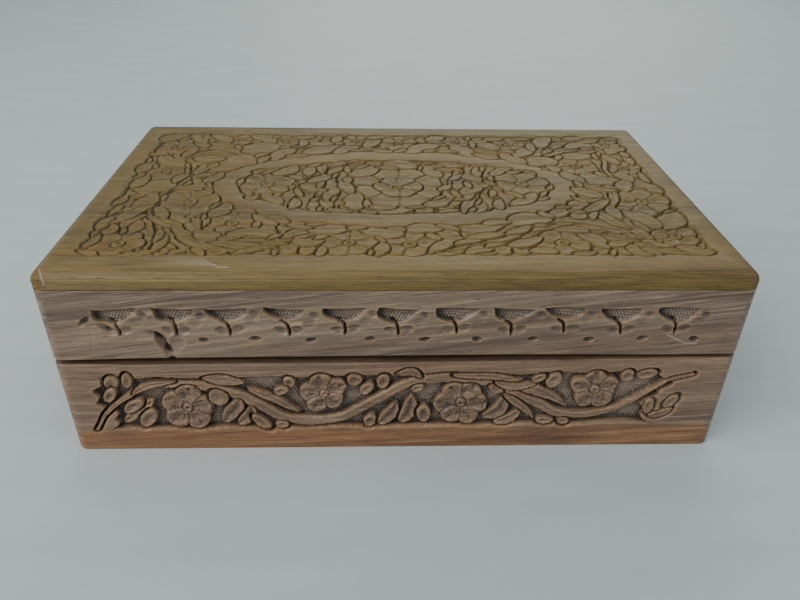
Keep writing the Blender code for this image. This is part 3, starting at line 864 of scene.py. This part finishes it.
def noise(material, vector, scale, detail=3.0, distort=0.0, rough=0.5):
    return addNode(material, 'ShaderNodeTexNoise', {'Vector': vector, 'Scale': scale, 'Detail': detail,
                                                    'Roughness': rough, 'Distortion': distort}).outputs['Fac']


def spread(material, value, low, high, toLow=0.0, toHigh=1.0):
    return addNode(material, 'ShaderNodeMapRange', {'Value': value, 'From Min': low, 'From Max': high,
                                                    'To Min': toLow, 'To Max': toHigh}).outputs['Result']


def sums(material, kind, first, second, clamp=False):
    return addNode(material, 'ShaderNodeMath', {0: first, 1: second}, operation=kind,
                   use_clamp=clamp).outputs['Value']


def blendColour(material, share, first, second, how='MIX'):
    node = addNode(material, 'ShaderNodeMix', {}, data_type='RGBA', blend_type=how)
    for socket, value in (('Factor_Float', share), ('A_Color', first), ('B_Color', second)):
        target = next(s for s in node.inputs if s.identifier == socket)
        if isinstance(value, bpy.types.NodeSocket):
            connect(material, value, target)
        else:
            target.default_value = value if socket == 'Factor_Float' else (*value, 1.0)
    return next(s for s in node.outputs if s.identifier == 'Result_Color')


def paintedOn(material, name):
    return addNode(material, 'ShaderNodeAttribute', {}, attribute_name=name).outputs['Fac']


def alongGrain(material, wood, across, along):
    # coordinates that are drawn out along the board's grain
    stretch = [across] * 3
    stretch[wood['grainAxis']] = along
    return placed(material, stretch, wood['turn'], wood['shift'])


def woodFinish(name, wood):
    # oiled hardwood: flowing dark streaks, fine fibre, short open pores, dust and wear where it is carved, and
    # painted shade with grime in its hollows
    material, shader = newMaterial(name)
    grain = alongGrain(material, wood, wood['crosswise'], wood['lengthwise'])
    where = addNode(material, 'ShaderNodeTexCoord', {}).outputs['Object']
    upright = addNode(material, 'ShaderNodeSeparateXYZ', {'Vector': where}).outputs['Z']
    broad = noise(material, grain, 0.11, 3.0, 1.4)
    figure = noise(material, grain, 0.42, 4.0, 1.8, 0.55)
    streaks = noise(material, grain, 2.3, 5.0, 0.9, 0.66)
    fine = alongGrain(material, wood, wood['fibre'], wood['fibre'] / 22)
    fibre = noise(material, fine, 1.0, 4.0, 0.0, 0.7)
    pitted = alongGrain(material, wood, wood['poreWide'], wood['poreLong'])
    pores = spread(material, noise(material, pitted, 1.0, 1.0), 0.66, 0.74)

    colour = blendColour(material, spread(material, figure, 0.32, 0.66), wood['dark'], wood['middle'])
    colour = blendColour(material, spread(material, streaks, 0.50, 0.72), colour, wood['light'])
    colour = blendColour(material, spread(material, broad, 0.40, 0.70, 0.0, 0.75), colour, wood['warm'])
    thinLines = spread(material, streaks, 0.30, 0.44, 0.75, 0.0)
    colour = blendColour(material, thinLines, colour, wood['line'])
    colour = blendColour(material, 1.0, colour, blendColour(
        material, spread(material, fibre, 0.30, 0.70), (0.68, 0.68, 0.68), (1.28, 1.28, 1.28)), 'MULTIPLY')
    colour = blendColour(material, sums(material, 'MULTIPLY', pores, 0.6), colour, wood['pore'])
    if wood['polishedBelow']:
        # handled wood keeps its oil: redder and deeper towards the foot
        ragged = sums(material, 'ADD', upright, sums(material, 'MULTIPLY', figure, 0.006))
        foot = spread(material, ragged, wood['polishedBelow'] + 0.0045, wood['polishedBelow'] + 0.0015)
        colour = blendColour(material, foot, colour, blendColour(
            material, 1.0, colour, wood['polish'], 'MULTIPLY'))
    if wood['carved']:
        specks = noise(material, placed(material, (900.0, 900.0, 900.0)), 1.0, 3.0)
        dusty = sums(material, 'MULTIPLY', paintedOn(material, 'ground'),
                     spread(material, specks, 0.30, 0.65, 0.35, 1.0))
        settled = sums(material, 'MULTIPLY', dusty, wood['dustShare'])
        colour = blendColour(material, settled, colour, wood['dust'])
        worn = sums(material, 'MULTIPLY', paintedOn(material, 'proud'), wood['wearShare'])
        colour = blendColour(material, worn, colour, wood['wear'])
        # painted shade: recesses, and rims that face the lid gap, are darkened in the colour, together with
        # grime in the recesses
        shadeAndGrime = sums(material, 'MULTIPLY', paintedOn(material, 'hollow'), wood['shadeAndGrimeShare'])
        colour = blendColour(material, shadeAndGrime, colour, wood['shadeAndGrime'])
        colour = blendColour(material, paintedOn(material, 'scratch'), colour, (0.55, 0.50, 0.42))
    connect(material, colour, shader.inputs['Base Color'])

    rough = spread(material, fibre, 0.25, 0.75, wood['roughness'] + 0.08, wood['roughness'] - 0.06)
    if wood['carved']:
        rough = sums(material, 'ADD', rough, sums(material, 'MULTIPLY', dusty, 0.28), clamp=True)
    connect(material, rough, shader.inputs['Roughness'])
    shader.inputs['Specular IOR Level'].default_value = wood['gloss']
    shader.inputs['IOR'].default_value = 1.5
    ridges = sums(material, 'SUBTRACT', sums(material, 'ADD', sums(material, 'MULTIPLY', fibre, 0.7),
                                             sums(material, 'MULTIPLY', streaks, 0.5)),
                  sums(material, 'MULTIPLY', pores, 0.8))
    bump = addNode(material, 'ShaderNodeBump', {'Height': ridges, 'Strength': 0.55, 'Distance': 0.00022})
    connect(material, bump.outputs['Normal'], shader.inputs['Normal'])
    return material


# the darkest colour of each wood below is the painted shade and grime of its hollows
oiled = {
    'grainAxis': 0, 'lengthwise': 9.0, 'crosswise': 240.0, 'turn': (0, 0, 0), 'shift': (0, 0, 0),
    'fibre': 1500.0, 'poreWide': 1900.0, 'poreLong': 210.0, 'carved': True,
    'dark': (0.095, 0.050, 0.026), 'middle': (0.200, 0.112, 0.058), 'light': (0.300, 0.180, 0.095),
    'warm': (0.240, 0.120, 0.052), 'line': (0.050, 0.026, 0.015), 'pore': (0.045, 0.025, 0.015),
    'dust': (0.420, 0.350, 0.280), 'dustShare': 0.85, 'wear': (0.380, 0.235, 0.130), 'wearShare': 0.40,
    'shadeAndGrime': (0.020, 0.012, 0.008), 'shadeAndGrimeShare': 0.85, 'roughness': 0.40, 'gloss': 0.5,
    'polishedBelow': 0.0, 'polish': (1.12, 0.86, 0.62),
}
woods = {
    # the top board's colours carry a yellow-olive tint: painted colour of the light that falls on the top,
    # over the same wood as the sides
    'top': {**oiled, 'shift': (0.31, 0.12, 0.05), 'crosswise': 190.0, 'dark': (0.085, 0.056, 0.022),
            'middle': (0.150, 0.104, 0.030), 'light': (0.210, 0.150, 0.055), 'warm': (0.180, 0.100, 0.022),
            'wear': (0.22, 0.165, 0.075), 'wearShare': 0.3, 'dust': (0.16, 0.12, 0.05), 'dustShare': 0.3,
            'shadeAndGrime': (0.040, 0.028, 0.008), 'shadeAndGrimeShare': 0.7, 'gloss': 0.22, 'roughness': 0.50},
    'lidFront': {**oiled, 'turn': (0, math.radians(7), 0), 'shift': (0.02, 0.4, 0.33),
                 'dark': (0.095, 0.060, 0.042), 'middle': (0.203, 0.141, 0.090),
                 'light': (0.350, 0.255, 0.160), 'warm': (0.230, 0.135, 0.080)},
    'lidBack': {**oiled, 'shift': (0.52, 0.4, 0.73), 'carved': False},
    'baseFront': {**oiled, 'turn': (0, math.radians(2.5), 0), 'shift': (0.63, 0.2, 0.11),
                  'polishedBelow': 0.0105, 'dark': (0.085, 0.050, 0.034), 'middle': (0.203, 0.135, 0.082),
                  'light': (0.345, 0.238, 0.145), 'warm': (0.235, 0.130, 0.070)},
    'baseBack': {**oiled, 'shift': (0.81, 0.7, 0.19), 'carved': False},
    'leftEnd': {**oiled, 'grainAxis': 1, 'shift': (0.17, 0.63, 0.41)},
    'rightEnd': {**oiled, 'grainAxis': 1, 'shift': (0.47, 0.23, 0.91)},
    'bottom': {**oiled, 'carved': False, 'shift': (0.9, 0.9, 0.2), 'dark': (0.150, 0.092, 0.052),
               'middle': (0.260, 0.165, 0.095), 'light': (0.360, 0.245, 0.150), 'warm': (0.300, 0.180, 0.095),
               'roughness': 0.62, 'gloss': 0.35},
}
finish = {name: woodFinish("oiled_wood_" + name, wood) for name, wood in woods.items()}
print("wood finishes:", len(finish))


def velvetFinish(name, velvet):
    # short pile that has been stroked this way and that
    material, shader = newMaterial(name)
    patches = noise(material, placed(material, (28.0, 40.0, 28.0)), 1.0, 3.0, 1.2)
    tufts = noise(material, placed(material, (2600.0, 2600.0, 2600.0)), 1.0, 2.0)
    shade = blendColour(material, spread(material, patches, 0.35, 0.68), velvet['dark'], velvet['light'])
    shade = blendColour(material, 1.0, shade, blendColour(
        material, spread(material, tufts, 0.3, 0.7), (0.62, 0.62, 0.62), (1.3, 1.3, 1.3)), 'MULTIPLY')
    connect(material, shade, shader.inputs['Base Color'])
    shader.inputs['Roughness'].default_value = 0.9
    shader.inputs['Specular IOR Level'].default_value = 0.2
    shader.inputs['Sheen Weight'].default_value = 0.55
    shader.inputs['Sheen Roughness'].default_value = 0.35
    shader.inputs['Sheen Tint'].default_value = (0.9, 0.30, 0.34, 1.0)
    bump = addNode(material, 'ShaderNodeBump', {'Height': tufts, 'Strength': 0.6, 'Distance': 0.0002})
    connect(material, bump.outputs['Normal'], shader.inputs['Normal'])
    return material


def brassFinish(name, brass):
    # old brass: brushed along X, browner where fingers and polish don't reach
    material, shader = newMaterial(name)
    brushed = noise(material, placed(material, (260.0, 4200.0, 4200.0)), 1.0, 3.0)
    stains = noise(material, placed(material, (240.0, 240.0, 240.0)), 1.0, 5.0, 0.8, 0.6)
    share = spread(material, stains, 0.42, 0.70)
    shade = blendColour(material, share, brass['clean'], brass['stained'])
    connect(material, shade, shader.inputs['Base Color'])
    shader.inputs['Metallic'].default_value = 1.0
    rough = sums(material, 'ADD', spread(material, share, 0.0, 1.0, 0.28, 0.50),
                 spread(material, brushed, 0.3, 0.7, -0.05, 0.07), clamp=True)
    connect(material, rough, shader.inputs['Roughness'])
    bump = addNode(material, 'ShaderNodeBump', {'Height': brushed, 'Strength': 0.25, 'Distance': 0.00005})
    connect(material, bump.outputs['Normal'], shader.inputs['Normal'])
    return material


velvet = velvetFinish("wine_velvet", {'dark': (0.060, 0.004, 0.010), 'light': (0.125, 0.012, 0.020)})
leafBrass = brassFinish("hinge_brass", {'clean': (0.62, 0.43, 0.17), 'stained': (0.26, 0.16, 0.07)})
screwBrass = brassFinish("screw_brass", {'clean': (0.70, 0.50, 0.21), 'stained': (0.33, 0.21, 0.09)})


def dress(thing, material):
    thing.data.materials.clear()
    thing.data.materials.append(material)


# boards

def board(name, wall, carve, node, body, material):
    # a carved side of the box, with painted shade along the rim that faces the gap of the opening
    step = carveStep(wall['fine'])
    sheet = wallSheet(wall, step)
    relief = newRelief(sheet['s'], sheet['y'])
    carve(relief)
    finishRelief(relief, step)
    # the rim's painted shade joins the painted shade of the recesses
    relief['hollow'] = np.maximum(relief['hollow'], sheet['grimy'])
    axis = 0 if abs(wall['outward'][0]) > 0.5 else 1
    inner = wall['outward'][axis] * (abs(wall['origin'][axis]) - wall['thick'])
    piece = carvedPiece(name, sheet, relief, axis, inner, wall['triangles'])
    dress(piece, material)
    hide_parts(node)
    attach(piece, body)


def flatBottom(x):
    return np.zeros_like(x)


def frontBaseRim(x):
    return split(x) - halfGap + closing(x)


def frontLidRim(x):
    return split(x) + halfGap - closing(x)


def endRim(side, lid):
    # level along the end, and brought to the front board's height at the front corner
    def rim(y):
        lift = closing(np.full_like(y, side * halfWidth)) * ramp(-y, -50, 65)
        if lid:
            return split(side * halfWidth) + halfGap - lift
        return split(side * halfWidth) - halfGap + lift
    return rim


def level(value):
    return lambda place: np.full_like(place, value)


front = {'origin': (0, -halfDepth, 0), 'along': (1, 0, 0), 'outward': (0, -1, 0), 'sign': 1,
         'length': 2 * halfWidth, 'thick': wallThick, 'cornerRadius': 4.5, 'ease': 0.65, 'fine': 0.30}
endBoard = {'length': 2 * abs(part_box("base_right_wall")[0].y / mm), 'thick': wallThick,
            'cornerRadius': 0.4, 'ease': 0.5, 'fine': 0.36}
right = {**endBoard, 'origin': (halfWidth, 0, 0), 'along': (0, 1, 0), 'outward': (1, 0, 0), 'sign': 1}
left = {**endBoard, 'origin': (-halfWidth, 0, 0), 'along': (0, -1, 0), 'outward': (-1, 0, 0), 'sign': -1}


def lidFrontCarving(relief):
    carveLidFrieze(relief, reach=113, count=11, chipped=True)


def lidEndCarving(relief):
    carveLidFrieze(relief, reach=62, count=6)


def baseEndCarving(relief):
    carveBaseEnd(relief, reach=60)


board("base_front_board", {**front, 'bottom': flatBottom, 'top': frontBaseRim, 'datum': frontBaseRim,
                           'shadedRim': 'top', 'triangles': 180000},
      carveBaseFront, "base_front_wall", "base", finish['baseFront'])
board("lid_front_board", {**front, 'bottom': frontLidRim, 'top': level(wallTop), 'datum': level(seamHeight),
                          'shadedRim': 'foot', 'triangles': 150000},
      lidFrontCarving, "lid_front_wall", "lid", finish['lidFront'])
for side, wall, word in ((-1, left, "left"), (1, right, "right")):
    low, high = endRim(side, False), endRim(side, True)
    board("base_" + word + "_board", {**wall, 'bottom': flatBottom, 'top': low, 'datum': low,
                                      'shadedRim': 'top', 'triangles': 90000},
          baseEndCarving, "base_" + word + "_wall", "base", finish[word + 'End'])
    board("lid_" + word + "_board", {**wall, 'bottom': high, 'top': level(wallTop), 'datum': level(seamHeight),
                                     'shadedRim': 'foot', 'triangles': 60000},
          lidEndCarving, "lid_" + word + "_wall", "lid", finish[word + 'End'])

top = {'halfWidth': halfWidth, 'halfDepth': halfDepth, 'height': height, 'edgeRadius': 4.2, 'fine': 0.36,
       'wobble': 0.5, 'triangles': 195000}
step = carveStep(top['fine'])
sheet = topSheet(top, step)
relief = newRelief(sheet['s'], sheet['y'], top['wobble'])
carveTop(relief)
finishRelief(relief, step)
topBoard = carvedPiece("lid_carved_top", sheet, relief, 2, seamHeight, top['triangles'])
dress(topBoard, finish['top'])
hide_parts("lid_top_board")
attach(topBoard, "lid")

# lining: card and wadding under velvet

pad = {'columns': 150, 'rows': 88, 'edge': 1.1, 'edgeWide': 3.5, 'crown': 0.6, 'wrinkle': 0.16,
       'waveReach': 16, 'smooth': 50}


def velvetPad(name, node, body, faces):
    # a wide thin cushion: a fine grid with rolled edges, a low crown and faint waves, closed at its card
    low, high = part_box(node)
    middle, size = (low + high) / 2, high - low
    deselectAll()
    bpy.ops.mesh.primitive_grid_add(x_subdivisions=pad['columns'], y_subdivisions=pad['rows'], size=1)
    piece = bpy.context.object
    piece.name = piece.data.name = name
    piece.scale = (size.x, size.y, 1)
    piece.location = (middle.x, middle.y, high.z if faces > 0 else low.z)
    settle(piece)
    for vertex in piece.data.vertices:
        u, v = (vertex.co.x - middle.x) / size.x * 2, (vertex.co.y - middle.y) / size.y * 2
        fromEdge = min((1 - abs(u)) * size.x / 2, (1 - abs(v)) * size.y / 2) / mm
        rolled = pad['edge'] * max(0, 1 - fromEdge / pad['edgeWide']) ** 2
        crown = pad['crown'] * (1 - u ** 4) * (1 - v ** 4)
        # the cloth was pulled over its card by hand, so faint waves run in from the edges
        near = math.exp(-fromEdge / pad['waveReach'])
        wave = near * math.sin(34 * (u if abs(v) > abs(u) else 0.6 * v) + 2 * math.sin(5 * u + 3 * v))
        wave += 0.6 * math.sin(4.1 * u + 1.7 * math.sin(3.3 * v + 0.8)) * math.sin(3.7 * v + 1.1)
        wave *= pad['wrinkle'] * min(1, fromEdge / 4)
        vertex.co.z -= faces * (rolled - crown + pad['crown'] - wave) * mm
    back = low.z if faces > 0 else high.z
    closeSheet(piece, (pad['columns'] + 1) * (pad['rows'] + 1), 2, back / mm)
    smooth(piece, pad['smooth'])
    dress(piece, velvet)
    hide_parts(node)
    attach(piece, body)


strip = {'bevel': 0.75, 'cuts': 40, 'levels': 5, 'wave': 0.16, 'smooth': 60}


def velvetStrip(node, body):
    # a strip of card wrapped in velvet, a little fuller along its middle
    low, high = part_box(node)
    middle, size = (low + high) / 2, high - low
    deselectAll()
    bpy.ops.mesh.primitive_cube_add(size=1, location=middle)
    piece = bpy.context.object
    piece.name = piece.data.name = node.replace("lining", "velvet")
    piece.scale = size
    settle(piece)
    long = 0 if size.x > size.y else 1
    bpy.ops.object.mode_set(mode='EDIT')
    bpy.ops.mesh.select_all(action='SELECT')
    bpy.ops.mesh.bevel(offset=strip['bevel'] * mm, segments=3, profile=0.6)
    for k in range(1, strip['cuts']):
        cut = list(middle)
        cut[long] = low[long] + size[long] * k / strip['cuts']
        normal = [0, 0, 0]
        normal[long] = 1
        bpy.ops.mesh.select_all(action='SELECT')
        bpy.ops.mesh.bisect(plane_co=cut, plane_no=normal)
    for k in range(1, strip['levels']):
        bpy.ops.mesh.select_all(action='SELECT')
        bpy.ops.mesh.bisect(plane_co=(0, 0, low.z + size.z * k / strip['levels']), plane_no=(0, 0, 1))
    bpy.ops.object.mode_set(mode='OBJECT')
    thin = 1 - long
    for vertex in piece.data.vertices:
        share = (vertex.co.z - low.z) / size.z
        wave = strip['wave'] * math.sin(170 * vertex.co[long] + 2.0) * math.sin(math.pi * share)
        inwards = -1 if middle[thin] > 0 else 1
        if (vertex.co[thin] - middle[thin]) * inwards > 0:
            vertex.co[thin] += inwards * wave * mm
    smooth(piece, strip['smooth'])
    dress(piece, velvet)
    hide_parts(node)
    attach(piece, body)


velvetPad("base_velvet_floor", "base_lining_floor", "base", 1)
velvetPad("lid_velvet_panel", "lid_lining_panel", "lid", -1)
for body in ("base", "lid"):
    for word in ("front", "back", "left", "right"):
        velvetStrip(body + "_lining_" + word, body)
print("velvet lining made")


# bottom board, between the walls

panel = {'clearance': 0.3, 'bevel': 0.35, 'cuts': 12, 'cupped': 0.35, 'smooth': 35}


def bottomPanel():
    inner = Vector((halfWidth - wallThick - panel['clearance'], halfDepth - wallThick - panel['clearance'],
                    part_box("base_bottom")[1].z / mm))
    deselectAll()
    bpy.ops.mesh.primitive_cube_add(size=1, location=(0, 0, inner.z / 2 * mm))
    piece = bpy.context.object
    piece.name = piece.data.name = "base_bottom_panel"
    piece.scale = (2 * inner.x * mm, 2 * inner.y * mm, inner.z * mm)
    settle(piece)
    bpy.ops.object.mode_set(mode='EDIT')
    bpy.ops.mesh.select_all(action='SELECT')
    bpy.ops.mesh.bevel(offset=panel['bevel'] * mm, segments=2)
    for k in range(1, panel['cuts']):
        bpy.ops.mesh.select_all(action='SELECT')
        bpy.ops.mesh.bisect(plane_co=(0, (2 * k / panel['cuts'] - 1) * inner.y * mm, 0), plane_no=(0, 1, 0))
    bpy.ops.object.mode_set(mode='OBJECT')
    for vertex in piece.data.vertices:
        # a thin board cups a little between its glued edges
        if vertex.co.z < inner.z / 2 * mm:
            across = vertex.co.y / mm / inner.y
            vertex.co.z += panel['cupped'] * mm * max(0, 1 - across * across)
    smooth(piece, panel['smooth'])
    dress(piece, finish['bottom'])
    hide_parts("base_bottom")
    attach(piece, "base")


bottomPanel()


# hinges and their screws

screw = {'head': 1.55, 'neck': 0.8, 'rim': 0.12, 'sink': 0.75, 'shank': 5.6, 'tip': 1.4,
         'slotWide': 0.42, 'slotDeep': 0.42, 'smooth': 30}


def slottedScrew(node, body, slotTurn):
    low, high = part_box(node)
    up = 1 if body == "base" else -1
    head = Vector(((low.x + high.x) / 2, (low.y + high.y) / 2, high.z if up > 0 else low.z))
    deselectAll()
    bpy.ops.mesh.primitive_cylinder_add(vertices=32, radius=screw['head'] * mm, depth=screw['rim'] * mm,
                                        location=(0, 0, -screw['rim'] / 2 * mm))
    piece = bpy.context.object
    piece.name = piece.data.name = node.replace("hinge_screw", "slotted_screw")
    settle(piece)
    bpy.ops.object.mode_set(mode='EDIT')
    bpy.ops.mesh.select_mode(type='FACE')
    bpy.ops.mesh.select_all(action='DESELECT')
    bpy.ops.object.mode_set(mode='OBJECT')
    for face in piece.data.polygons:
        face.select = face.normal.z < -0.9
    bpy.ops.object.mode_set(mode='EDIT')
    stages = ((screw['sink'], screw['neck'] / screw['head']), (screw['shank'], 0.92), (screw['tip'], 0.25))
    for drop, width in stages:
        bpy.ops.mesh.extrude_region_move(TRANSFORM_OT_translate={"value": (0, 0, -drop * mm)})
        bpy.ops.transform.resize(value=(width, width, 1))
    bpy.ops.object.mode_set(mode='OBJECT')
    deselectAll()
    bpy.ops.mesh.primitive_cube_add(size=1)
    slot = bpy.context.object
    slot.scale = (4 * screw['head'] * mm, screw['slotWide'] * mm, 2 * screw['slotDeep'] * mm)
    slot.rotation_euler = (0, 0, slotTurn)
    settle(slot)
    cut = piece.modifiers.new("slot", 'BOOLEAN')
    cut.object = slot
    cut.operation = 'DIFFERENCE'
    applyModifiers(piece)
    bpy.data.objects.remove(slot)
    if up < 0:
        piece.rotation_euler = (math.pi, 0, 0)
    piece.location = head
    settle(piece)
    smooth(piece, screw['smooth'])
    dress(piece, screwBrass)
    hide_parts(node)
    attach(piece, body)


for body in ("base", "lid"):
    for number in range(1, 7):
        slotTurn = 0.9 * number + (0.5 if body == "lid" else 0)
        slottedScrew(body + "_hinge_screw_" + str(number), body, slotTurn)
print("screws slotted")

# the back boards and the hinges stay as the frame has them
for node in ("base_back_wall", "lid_back_wall"):
    dress(frame["nodes"][node], finish['baseBack' if node.startswith("base") else 'lidBack'])
for node, thing in frame["nodes"].items():
    if node.startswith("hinge"):
        dress(thing, leafBrass)


# floor, light and camera

studio = {'floor': (0.47, 0.52, 0.52), 'shaded': 0.93, 'floorSize': 60.0, 'world': (0.80, 0.92, 1.0),
          'worldPower': 0.55, 'aim': (0, 0, 0.04)}
deselectAll()
bpy.ops.mesh.primitive_plane_add(size=studio['floorSize'])
floor = bpy.context.object
floor.name = "studio_floor"
floorPaint, shader = newMaterial("pale_paint")
clouds = noise(floorPaint, placed(floorPaint, (14.0, 60.0, 1.0)), 1.0, 4.0)
duller = tuple(studio['shaded'] * c for c in studio['floor'])
tone = blendColour(floorPaint, spread(floorPaint, clouds, 0.3, 0.7), duller, studio['floor'])
connect(floorPaint, tone, shader.inputs['Base Color'])
shader.inputs['Roughness'].default_value = 0.6
dress(floor, floorPaint)

world = bpy.data.worlds.new("soft_room")
bpy.context.scene.world = world
world.use_nodes = True
backdrop = world.node_tree.nodes['Background']
backdrop.inputs['Color'].default_value = (*studio['world'], 1.0)
backdrop.inputs['Strength'].default_value = studio['worldPower']

lamps = {
    "window": {'place': (-0.75, -0.55, 0.85), 'size': 0.9, 'power': 13.0, 'colour': (1.0, 0.97, 0.93)},
    "fill": {'place': (0.9, -0.8, 0.5), 'size': 1.2, 'power': 3.0, 'colour': (0.93, 0.93, 1.0)},
    "back": {'place': (0.2, 1.1, 0.7), 'size': 1.0, 'power': 6.0, 'colour': (1.0, 0.98, 0.84)},
}
for name, lamp in lamps.items():
    light = bpy.data.lights.new(name, 'AREA')
    light.size, light.energy, light.color = lamp['size'], lamp['power'], lamp['colour']
    holder = bpy.data.objects.new(name, light)
    bpy.context.scene.collection.objects.link(holder)
    holder.location = lamp['place']
    towards = Vector(studio['aim']) - Vector(lamp['place'])
    holder.rotation_euler = towards.to_track_quat('-Z', 'Y').to_euler()

view = {'place': (-0.0093, -0.2838, 0.2004), 'down': 32.35, 'swing': -2.44, 'roll': 1.23,
        'lens': 31.45, 'sensor': 36.0, 'nearest': 0.01}
lens = bpy.data.cameras.new("camera")
lens.lens, lens.sensor_width, lens.clip_start = view['lens'], view['sensor'], view['nearest']
camera = bpy.data.objects.new("camera", lens)
bpy.context.scene.collection.objects.link(camera)
swing = Matrix.Rotation(math.radians(view['swing']), 4, 'Z')
down = Matrix.Rotation(math.radians(90 - view['down']), 4, 'X')
roll = Matrix.Rotation(math.radians(view['roll']), 4, 'Z')
camera.matrix_world = Matrix.Translation(view['place']) @ (swing @ down @ roll)
bpy.context.scene.camera = camera
print("camera and light set")
